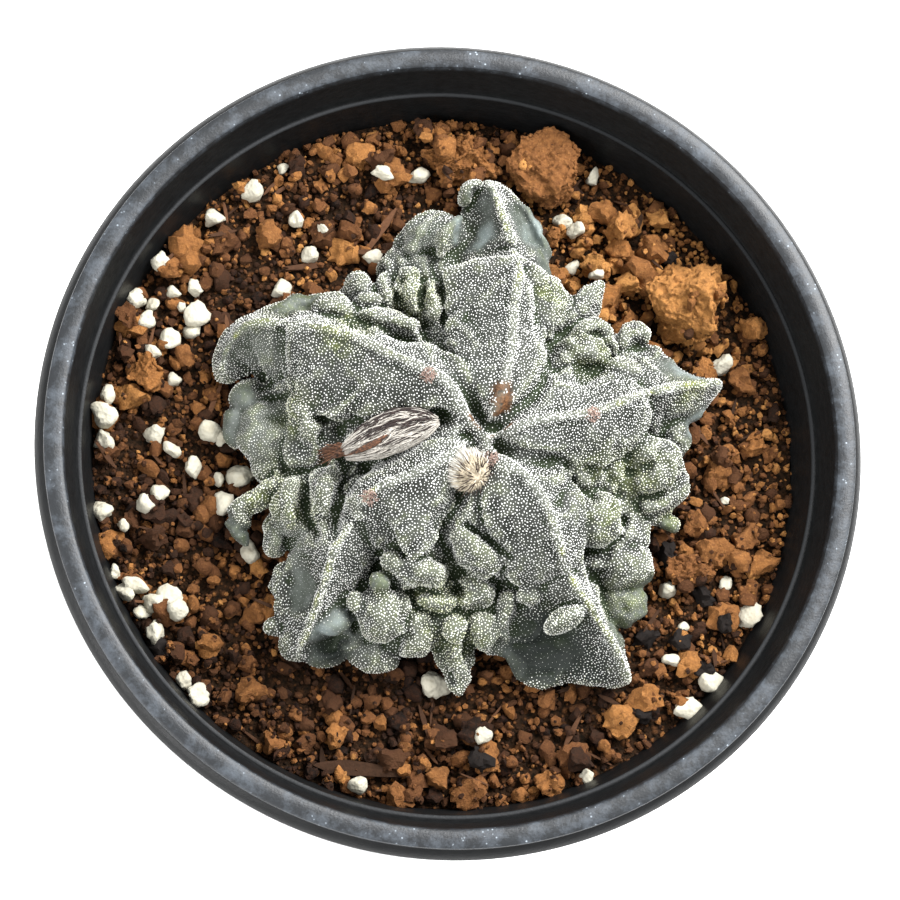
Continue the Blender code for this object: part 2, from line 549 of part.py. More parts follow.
def lump_shape(x, y, height, half_x, half_y, half_z, turn):
    shape = bmesh.new()
    place = Matrix.Translation((x * MM, y * MM, (SOIL_LEVEL + height) * MM))
    place @= Matrix.Rotation(math.radians(turn), 4, "Z")
    place @= Matrix.Diagonal((half_x * MM, half_y * MM, half_z * MM, 1.0))
    bmesh.ops.create_icosphere(shape, subdivisions=3, radius=1.0, matrix=place)
    floor = (SOIL_LEVEL + UNDERSIDE) * MM
    for vert in shape.verts:
        vert.co.z = max(vert.co.z, floor)
    return shape


def neck_shape():
    """The round root neck that stands in the soil, with its top inside the body."""
    shape = bmesh.new()
    height = SOIL_LEVEL + 0.5 * (NECK_TOP - NECK_DEPTH)
    middle = (PLANT_MIDDLE[0] * MM, PLANT_MIDDLE[1] * MM, height * MM)
    bmesh.ops.create_cone(
        shape,
        cap_ends=True,
        segments=NECK_SIDES,
        radius1=NECK_RADIUS * MM,
        radius2=NECK_RADIUS * MM,
        depth=(NECK_DEPTH + NECK_TOP) * MM,
        matrix=Matrix.Translation(middle),
    )
    return shape


def body_pieces():
    for rows in RIBS.values():
        yield limb_shape(rows, UNDERSIDE, RIB_SECTION)
    for underside, rows in FOLDS.values():
        yield limb_shape(rows, underside, FOLD_SECTION)
    for lump in LUMPS:
        yield lump_shape(*lump)
    yield neck_shape()


def build_body(collection):
    whole = bmesh.new()
    for piece in body_pieces():
        mesh = bpy.data.meshes.new("piece")
        piece.to_mesh(mesh)
        piece.free()
        whole.from_mesh(mesh)
        bpy.data.meshes.remove(mesh)
    skin = make_material("cactus_skin", (0.16, 0.22, 0.15), 0.6)
    body = object_from_bmesh("cactus_body", whole, collection, skin)
    remesh = body.modifiers.new("Grown together", "REMESH")
    remesh.mode = "VOXEL"
    remesh.voxel_size = BODY_VOXEL * MM
    remesh.use_smooth_shade = True
    soften = body.modifiers.new("Soften", "SMOOTH")
    soften.factor = 0.5
    soften.iterations = 1
    triangulate = body.modifiers.new("Triangles", "TRIANGULATE")
    triangulate.min_vertices = 4
    apply_modifiers(body)
    thin = body.modifiers.new("Thin", "DECIMATE")
    thin.ratio = BODY_TRIANGLES / len(body.data.polygons)
    return apply_modifiers(body)


def surface_tree(thing):
    graph = bpy.context.evaluated_depsgraph_get()
    return BVHTree.FromObject(thing, graph)


def relief(x, y):
    """Height of the bed above the soil's level, calm near the plant and under the clay lumps."""
    place = Vector((x / SOIL_WAVE_LENGTH, y / SOIL_WAVE_LENGTH, SOIL_WAVE_PLACE))
    wave = noise.noise(place) + 0.5 * noise.noise(place * FINE_WAVES)
    away = math.hypot(x - PLANT_MIDDLE[0], y - PLANT_MIDDLE[1]) / CALM_RADIUS
    calm = CALM_SHARE + (1.0 - CALM_SHARE) * min(1.0, max(0.0, 4.0 * (away - 0.9)))
    for lump_x, lump_y, half_x, half_y, _ in CLAY_LUMPS:
        distance = math.hypot((x - lump_x) / half_x, (y - lump_y) / half_y)
        calm *= min(1.0, max(LUMP_BED_SHARE, distance - LUMP_BED_REACH))
    return SOIL_WAVE * wave * calm


def grain_shape(x, y, radius, draw):
    """A low-sided grain sunk half into the bed."""
    shape = bmesh.new()
    height = SOIL_LEVEL + relief(x, y) + GRAIN_LIFT * radius
    place = Matrix.Translation((x * MM, y * MM, height * MM))
    place @= Matrix.Rotation(draw.uniform(0.0, math.tau), 4, "Z")
    place @= Matrix.Rotation(draw.uniform(-GRAIN_TILT, GRAIN_TILT), 4, "X")
    half_x = radius * draw.uniform(*GRAIN_LENGTHS) * MM
    half_z = radius * draw.uniform(*GRAIN_HEIGHTS) * MM
    place @= Matrix.Diagonal((half_x, radius * MM, half_z, 1.0))
    bmesh.ops.create_icosphere(shape, subdivisions=1, radius=1.0, matrix=place)
    return shape


def clear_of_neighbours(x, y, radius, body_tree, taken):
    if math.hypot(x, y) + radius > wall_radius(SOIL_LEVEL) - GRAIN_WALL_CLEARANCE:
        return False
    nearest = body_tree.find_nearest(Vector((x, y, SOIL_LEVEL)) * MM)
    if nearest[3] < (radius + GRAIN_CLEARANCE) * MM:
        return False
    above = body_tree.ray_cast(Vector((x, y, SOIL_LEVEL - 1.0)) * MM, Vector((0.0, 0.0, 1.0)))
    if above[0] is not None:
        return False
    for lump_x, lump_y, half_x, half_y, _ in CLAY_LUMPS:
        apart = max(half_x, half_y) + radius + GRAIN_LUMP_CLEARANCE
        if math.hypot(x - lump_x, y - lump_y) < apart:
            return False
    return all(math.hypot(x - a, y - b) > radius + other + GAP for a, b, other in taken)


def place_grains(body_tree, draw):
    """Places and sizes of the perlite and of the crumbs between it."""
    taken = []
    for x, y in PERLITE:
        radius = draw.uniform(*PERLITE_RADII)
        if clear_of_neighbours(x, y, radius, body_tree, taken):
            taken.append((x, y, radius))
    wanted = len(taken) + CRUMB_COUNT
    for _ in range(GRAIN_TRIES):
        if len(taken) == wanted:
            break
        angle = draw.uniform(0.0, math.tau)
        distance = wall_radius(SOIL_LEVEL) * math.sqrt(draw.random())
        x = distance * math.cos(angle)
        y = distance * math.sin(angle)
        radius = draw.uniform(*CRUMB_RADII)
        if clear_of_neighbours(x, y, radius, body_tree, taken):
            taken.append((x, y, radius))
    return taken


def build_soil(collection, cutters, body_tree):
    edge = wall_radius(SOIL_LEVEL) - GAP
    profile = [(edge * ring / SOIL_RINGS, SOIL_LEVEL) for ring in range(SOIL_RINGS + 1)]
    profile += [corner for corner in reversed(inner_wall(GAP)) if corner[1] < SOIL_LEVEL]
    profile += [(0.0, FLOOR_TOP + GAP)]
    clay = make_material("soil_mix", (0.27, 0.13, 0.06), 0.95)
    soil = apply_modifiers(turned("soil", profile, collection, clay))
    top = (SOIL_LEVEL - 0.01) * MM
    for vert in soil.data.vertices:
        if vert.co.z > top:
            vert.co.z += relief(vert.co.x / MM, vert.co.y / MM) * MM
    hole = bmesh.new()
    middle = (PLANT_MIDDLE[0] * MM, PLANT_MIDDLE[1] * MM, SOIL_LEVEL * MM)
    bmesh.ops.create_cone(
        hole,
        cap_ends=True,
        segments=NECK_SIDES,
        radius1=(NECK_RADIUS + HOLE_CLEARANCE) * MM,
        radius2=(NECK_RADIUS + HOLE_CLEARANCE) * MM,
        depth=2 * (NECK_DEPTH + GAP) * MM,
        matrix=Matrix.Translation(middle),
    )
    add_boolean(soil, make_cutter(object_from_bmesh("soil_cutter", hole, cutters)), "DIFFERENCE")
    apply_modifiers(soil)
    draw = random.Random(GRAIN_SEED)
    grains = make_collection("grains")
    for number, (x, y, radius) in enumerate(place_grains(body_tree, draw)):
        object_from_bmesh(f"grain_{number}", grain_shape(x, y, radius, draw), grains)
    return union_collection(soil, grains)


def seat(shape, tree, clearance):
    """Lower or lift a shape until it lies just clear of the surface below it."""
    down = Vector((0.0, 0.0, -1.0))
    lift = -1.0
    for vert in shape.verts:
        below = tree.ray_cast(Vector((vert.co.x, vert.co.y, 1.0)), down)[0]
        if below is not None:
            lift = max(lift, below.z + clearance * MM - vert.co.z)
    bmesh.ops.translate(shape, verts=shape.verts, vec=(0.0, 0.0, lift))


def build_clay_lumps(collection, soil_tree):
    clay = make_material("clay_lump", (0.42, 0.2, 0.085), 0.92)
    for number, (x, y, half_x, half_y, half_z) in enumerate(CLAY_LUMPS, start=1):
        shape = bmesh.new()
        bmesh.ops.create_icosphere(shape, subdivisions=3 if half_x > 5.0 else 2, radius=1.0)
        pattern = Vector((LUMP_PATTERN_STEP * number, 0.0, 0.0))
        for vert in shape.verts:
            rough = 1.0 + LUMP_ROUGHNESS * noise.noise(vert.co * LUMP_ROUGH_LENGTH + pattern)
            height = max(vert.co.z, LUMP_FLAT)
            vert.co = (
                (x + half_x * rough * vert.co.x) * MM,
                (y + half_y * rough * vert.co.y) * MM,
                (SOIL_LEVEL + half_z * (1.0 + rough * height)) * MM,
            )
        seat(shape, soil_tree, GAP)
        object_from_bmesh(f"clay_lump_{number}", shape, collection, clay)


def tube_shape(rows, height, slope, sides=10, rings=12):
    """A lying spindle: rows of x, y and radius, its axis sinking by the slope from end to end."""
    shape = bmesh.new()
    bmesh.ops.create_uvsphere(shape, u_segments=sides, v_segments=rings, radius=1.0)
    curve = smooth_rows(rows, 100)
    along = np.gradient(curve[:, :2], axis=0)
    along /= np.linalg.norm(along, axis=1, keepdims=True)
    for vert in shape.verts:
        side, up, run = vert.co
        ring = math.hypot(side, up)
        at = int(round(0.5 * (1.0 + run) * (len(curve) - 1)))
        x, y, radius = curve[at]
        fullness = (1.0 - run**4) ** 0.25 * radius / max(ring, 1e-6)
        vert.co = (
            (x - along[at][1] * side * fullness) * MM,
            (y + along[at][0] * side * fullness) * MM,
            (SOIL_LEVEL + height - slope * at / len(curve) + up * fullness) * MM,
        )
    bmesh.ops.recalc_face_normals(shape, faces=shape.faces)
    return shape


def scale_cone(start, direction, length, radius, flatness):
    """A flat pointed scale or bristle that grows from a place along a direction."""
    shape = bmesh.new()
    turn = direction.to_track_quat("Z", "Y").to_matrix().to_4x4()
    place = Matrix.Translation(start) @ turn
    place @= Matrix.Translation((0.0, 0.0, 0.5 * length * MM))
    bmesh.ops.create_cone(
        shape,
        cap_ends=True,
        segments=4,
        radius1=radius * MM,
        radius2=POINT_WIDTH * radius * MM,
        depth=length * MM,
        matrix=place @ Matrix.Diagonal((1.0, flatness, 1.0, 1.0)),
    )
    return shape


def build_flower(collection, body_tree):
    """The withered flower: a woolly tube with rows of narrow scales, and its shrivelled petals."""
    wool = make_material("dried_flower_wool", (0.62, 0.56, 0.5), 0.95)
    tube = tube_shape(FLOWER_PATH, FLOWER_HEIGHT, FLOWER_SLOPE)
    start = Vector((*FLOWER_PATH[0][:2], SOIL_LEVEL + FLOWER_HEIGHT)) * MM
    end = Vector((*FLOWER_PATH[-1][:2], SOIL_LEVEL + FLOWER_HEIGHT - FLOWER_SLOPE)) * MM
    axis = (end - start).normalized()
    side = axis.cross(Vector((0.0, 0.0, 1.0))).normalized()
    up = side.cross(axis)
    curve = smooth_rows(FLOWER_PATH, 100)
    scales = make_collection("scales")
    for row in range(SCALE_ROWS):
        along = SCALE_ROW_PLACES[0] + SCALE_ROW_PLACES[1] * row
        at = int(len(curve) * along)
        height = SOIL_LEVEL + FLOWER_HEIGHT - FLOWER_SLOPE * at / len(curve)
        middle = Vector((*curve[at][:2], height)) * MM
        for number in range(SCALES_PER_ROW):
            angle = (number + 0.5 * (row % 2)) * math.tau / SCALES_PER_ROW
            out = math.cos(angle) * side + math.sin(angle) * up
            root = middle + out * (curve[at][2] - SCALE_DEPTH) * MM
            lean = (axis + SCALE_SPREAD * out).normalized()
            cone = scale_cone(root, lean, SCALE_LENGTH, SCALE_RADIUS, SCALE_FLATNESS)
            object_from_bmesh(f"scale_{row}_{number}", cone, scales)
    tail = tube_shape(FLOWER_TAIL, FLOWER_HEIGHT - FLOWER_SLOPE, TAIL_SLOPE, 8, 8)
    object_from_bmesh("tail", tail, scales)
    flower = union_collection(object_from_bmesh("dried_flower", tube, collection, wool), scales)
    shape = bmesh.new()
    shape.from_mesh(flower.data)
    seat(shape, body_tree, GAP)
    shape.to_mesh(flower.data)
    shape.free()
    return flower


def build_bud(collection, body_tree):
    """The small woolly bud, a ball with a tuft of bristles that leans towards the viewer."""
    wool = make_material("dried_bud_wool", (0.72, 0.64, 0.5), 0.95)
    middle = Vector((*BUD_PLACE, SOIL_LEVEL + BUD_HEIGHT)) * MM
    ball = bmesh.new()
    place = Matrix.Translation(middle)
    place @= Matrix.Diagonal((BUD_RADIUS * MM, BUD_RADIUS * MM, BUD_STRETCH * BUD_RADIUS * MM, 1.0))
    bmesh.ops.create_uvsphere(ball, u_segments=12, v_segments=9, radius=1.0, matrix=place)
    lean = Vector(BUD_LEAN).normalized()
    bristles = make_collection("bristles")
    for number in range(BRISTLES):
        spread = BRISTLE_SPREAD * math.sqrt((number + 0.5) / BRISTLES)
        angle = number * math.pi * (3.0 - math.sqrt(5.0))
        out = Vector((math.cos(angle) * spread, math.sin(angle) * spread, 1.0 - 0.5 * spread))
        out = (lean.to_track_quat("Z", "Y") @ out).normalized()
        root = middle + out * (BUD_RADIUS - BRISTLE_DEPTH) * MM
        cone = scale_cone(root, out, BRISTLE_LENGTH, BRISTLE_RADIUS, 1.0)
        object_from_bmesh(f"bristle_{number}", cone, bristles)
    bud = union_collection(object_from_bmesh("dried_bud", ball, collection, wool), bristles)
    shape = bmesh.new()
    shape.from_mesh(bud.data)
    seat(shape, body_tree, GAP)
    shape.to_mesh(bud.data)
    shape.free()
    return bud


def main():
    clear_scene()
    parts = make_collection("potted_bishops_cap_cactus")
    cutters = make_collection("cutters")
    build_pot(parts, cutters)
    body_tree = surface_tree(build_body(parts))
    soil = build_soil(parts, cutters, body_tree)
    build_clay_lumps(parts, surface_tree(soil))
    build_flower(parts, body_tree)
    build_bud(parts, body_tree)


main()
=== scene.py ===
"""Looks of the potted bishop's cap cactus: skin, flecks, dried flower, bud, potting mix and pot.

Every length here is in millimetres and is turned into metres where a mesh or a light is made.
Heights called "above the soil" start at SOIL_LEVEL; the plant is seen from above, +Y away.
"""

import math
import bpy
import numpy as np
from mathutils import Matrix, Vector, noise
from mathutils.bvhtree import BVHTree
from mathutils.kdtree import KDTree


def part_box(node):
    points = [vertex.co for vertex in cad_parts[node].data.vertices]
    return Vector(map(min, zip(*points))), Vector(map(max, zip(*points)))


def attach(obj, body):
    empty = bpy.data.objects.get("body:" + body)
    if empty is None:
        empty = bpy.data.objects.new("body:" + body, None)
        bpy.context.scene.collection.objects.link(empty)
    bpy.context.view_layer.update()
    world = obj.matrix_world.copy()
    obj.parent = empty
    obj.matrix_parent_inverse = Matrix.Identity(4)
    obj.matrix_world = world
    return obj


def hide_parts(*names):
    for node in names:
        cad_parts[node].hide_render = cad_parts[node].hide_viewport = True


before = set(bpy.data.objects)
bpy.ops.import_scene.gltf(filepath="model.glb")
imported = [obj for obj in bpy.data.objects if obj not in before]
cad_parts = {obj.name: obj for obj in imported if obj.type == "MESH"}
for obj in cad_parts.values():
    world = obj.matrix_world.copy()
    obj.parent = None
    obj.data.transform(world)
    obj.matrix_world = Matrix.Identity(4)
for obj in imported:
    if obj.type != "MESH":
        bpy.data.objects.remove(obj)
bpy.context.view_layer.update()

MM = 0.001
NOISE_SEED = 7
noise.seed_set(NOISE_SEED)  # noise_vector would differ at each run without it

# Pot, as in the part's source
POT_HEIGHT = 100.0
RIM_RADIUS = 60.0
RIM_INNER_RADIUS = 57.1
LIP_RADIUS = 61.4
LIP_DROP = 2.7
LEDGE_RADIUS = 55.5
LEDGE_DROP = 6.6
WALL = 1.5
COLLAR_DROP = 18.0
COLLAR_INNER_RADIUS = 52.6
FLOOR_INNER_RADIUS = 41.6
FLOOR_TOP = 3.8
FLOOR_UNDERSIDE = 2.2
FOOT_WIDTH = 3.2
POT_STEPS = 224
DRAIN_HOLES = 8
DRAIN_HOLE_RADIUS = 3.2
DRAIN_CIRCLE_RADIUS = 29.0
FOOT_NOTCHES = 4
FOOT_NOTCH_SIZE = (12.8, 7.0, 2.8)

# Potting mix
SOIL_LEVEL = POT_HEIGHT - 13.4
SOIL_RADIUS = 53.7
BED_SINK = 1.1  # the dark bed lies this far under the loose crumbs
BED_CELL = 0.4

# Plant
PLANT_MIDDLE = (3.0, -1.0)
NECK_RADIUS = 13.0
NECK_DEPTH = 12.0
UNDERSIDE = 1.1
SKIN_VOXEL = 0.31
CALM_REACH = 8.0  # skin nearer than this to a crest is nearly smooth
FOLD_DEPTH = (0.2, 0.85)  # by the crests and on the flanks
FOLD_SIZE = 5.2
FOLD_FLATNESS = 0.45  # heights count this much, so the folds run up and down
FOLD_WARP = (0.5, 5.0)  # strength and size of the bend in the folds
FOLD_RIPPLE = (0.3, 2.1)  # strength and fineness of the small folds on the broad ones
RIM_AND_BOWL = (0.7, 1.9)  # how far a rim stands out and how deep a bowl lies under it
SEAM = 0.4  # how far the crest line stands up
SEAM_REACH = 0.7
ALONG_SIGHT = 0.75  # share of a crease pressed along the line of sight, not the normal
CRISPNESS = (0.9, 0.35)  # how much ridges and creases are sharpened, and its limit
MARK_GAIN = (2.2, 0.8)  # how strongly fine and broad relief show in the marks
BROAD_ROUNDS = 120
SKIN_TRIANGLES = 185000

# One row for each place along a rib or fold: x, y, crest height above the soil,
# half-width on the left and on the right seen from its root, and drop from crest to side edge.
RIBS = {
    "north_upper": [
        (4.0, 0.0, 24.0, 1.4, 1.4, 1.0),
        (5.2, 4.0, 26.0, 4.2, 4.0, 2.0),
        (6.6, 10.0, 25.2, 8.6, 6.0, 4.5),
        (7.4, 17.0, 22.8, 9.0, 5.6, 6.5),
        (8.6, 23.5, 20.6, 10.6, 5.6, 6.0),
        (9.0, 27.0, 19.0, 10.0, 5.4, 5.0),
    ],
    "north_lower": [
        (8.4, 18.0, 16.0, 8.0, 6.0, 8.0),
        (8.6, 26.5, 15.8, 11.0, 6.6, 9.0),
        (7.8, 31.0, 14.6, 9.6, 6.4, 9.0),
        (6.4, 36.6, 12.2, 5.6, 5.4, 7.0),
        (5.2, 41.6, 8.6, 3.2, 3.4, 4.0),
    ],
    "west_upper": [
        (1.6, -0.2, 24.0, 1.4, 1.4, 1.0),
        (-1.6, 4.6, 26.0, 3.6, 4.2, 2.0),
        (-5.4, 7.0, 25.4, 5.4, 5.0, 3.5),
        (-10.6, 9.6, 24.2, 8.8, 4.6, 5.5),
        (-16.6, 13.0, 22.0, 12.0, 4.4, 7.5),
        (-22.4, 14.8, 20.0, 12.6, 5.0, 8.5),
        (-26.4, 14.6, 18.2, 10.6, 4.6, 7.0),
    ],
    "west_lower": [
        (-18.0, 14.0, 15.0, 8.0, 6.0, 8.0),
        (-25.6, 16.2, 14.6, 9.4, 5.6, 8.6),
        (-30.6, 16.2, 12.8, 9.6, 3.0, 8.0),
        (-33.6, 13.6, 9.8, 6.4, 2.0, 5.5),
        (-34.6, 10.0, 6.6, 2.8, 0.9, 3.0),
    ],
    "southwest_upper": [
        (1.6, -2.2, 24.0, 1.4, 1.4, 1.0),
        (-2.6, -5.6, 26.0, 4.8, 3.6, 2.5),
        (-7.6, -8.2, 25.4, 9.6, 4.6, 5.0),
        (-12.8, -10.2, 23.8, 11.6, 4.4, 7.0),
        (-16.0, -13.6, 21.4, 9.4, 3.6, 7.5),
    ],
    "southwest_lower": [
        (-12.0, -9.8, 20.0, 7.0, 6.0, 7.0),
        (-17.4, -16.8, 19.4, 6.0, 6.2, 9.0),
        (-19.4, -22.6, 16.6, 5.6, 6.0, 10.0),
        (-21.2, -28.0, 12.0, 5.0, 4.8, 8.5),
        (-22.6, -31.8, 6.6, 2.0, 2.2, 3.5),
    ],
    "southeast_upper": [
        (3.6, -3.4, 24.0, 1.4, 1.4, 1.0),
        (7.4, -6.8, 26.0, 4.4, 6.6, 3.0),
        (11.4, -11.6, 24.6, 6.4, 8.0, 4.5),
        (13.6, -16.4, 22.8, 5.4, 7.6, 6.0),
        (15.4, -20.8, 20.4, 4.6, 8.0, 6.5),
    ],
    "southeast_lower": [
        (12.0, -14.0, 18.0, 6.0, 8.0, 7.0),
        (17.2, -22.6, 17.4, 5.4, 12.0, 10.6),
        (20.4, -26.6, 14.6, 4.4, 12.0, 10.4),
        (23.4, -30.2, 11.6, 3.2, 8.6, 8.6),
        (26.6, -34.6, 7.4, 1.2, 2.4, 3.6),
    ],
    "east_upper": [
        (4.2, -1.8, 24.0, 1.4, 1.4, 1.0),
        (8.4, -0.6, 26.0, 4.4, 3.4, 2.0),
        (14.0, 0.8, 25.0, 7.4, 5.6, 4.5),
        (19.6, 2.2, 23.2, 8.6, 6.8, 6.5),
        (25.0, 5.0, 20.6, 7.6, 6.4, 6.5),
        (28.4, 6.4, 18.6, 5.6, 5.0, 5.5),
    ],
    "east_lower": [
        (20.0, 4.0, 18.0, 7.0, 6.0, 8.0),
        (27.4, 6.4, 16.8, 9.6, 6.0, 9.6),
        (32.6, 8.0, 15.0, 8.4, 5.4, 9.0),
        (35.2, 8.8, 13.2, 6.6, 4.6, 7.4),
        (38.4, 9.8, 10.6, 2.2, 2.6, 4.6),
        (41.0, 10.6, 8.4, 0.9, 1.0, 2.0),
    ],
}

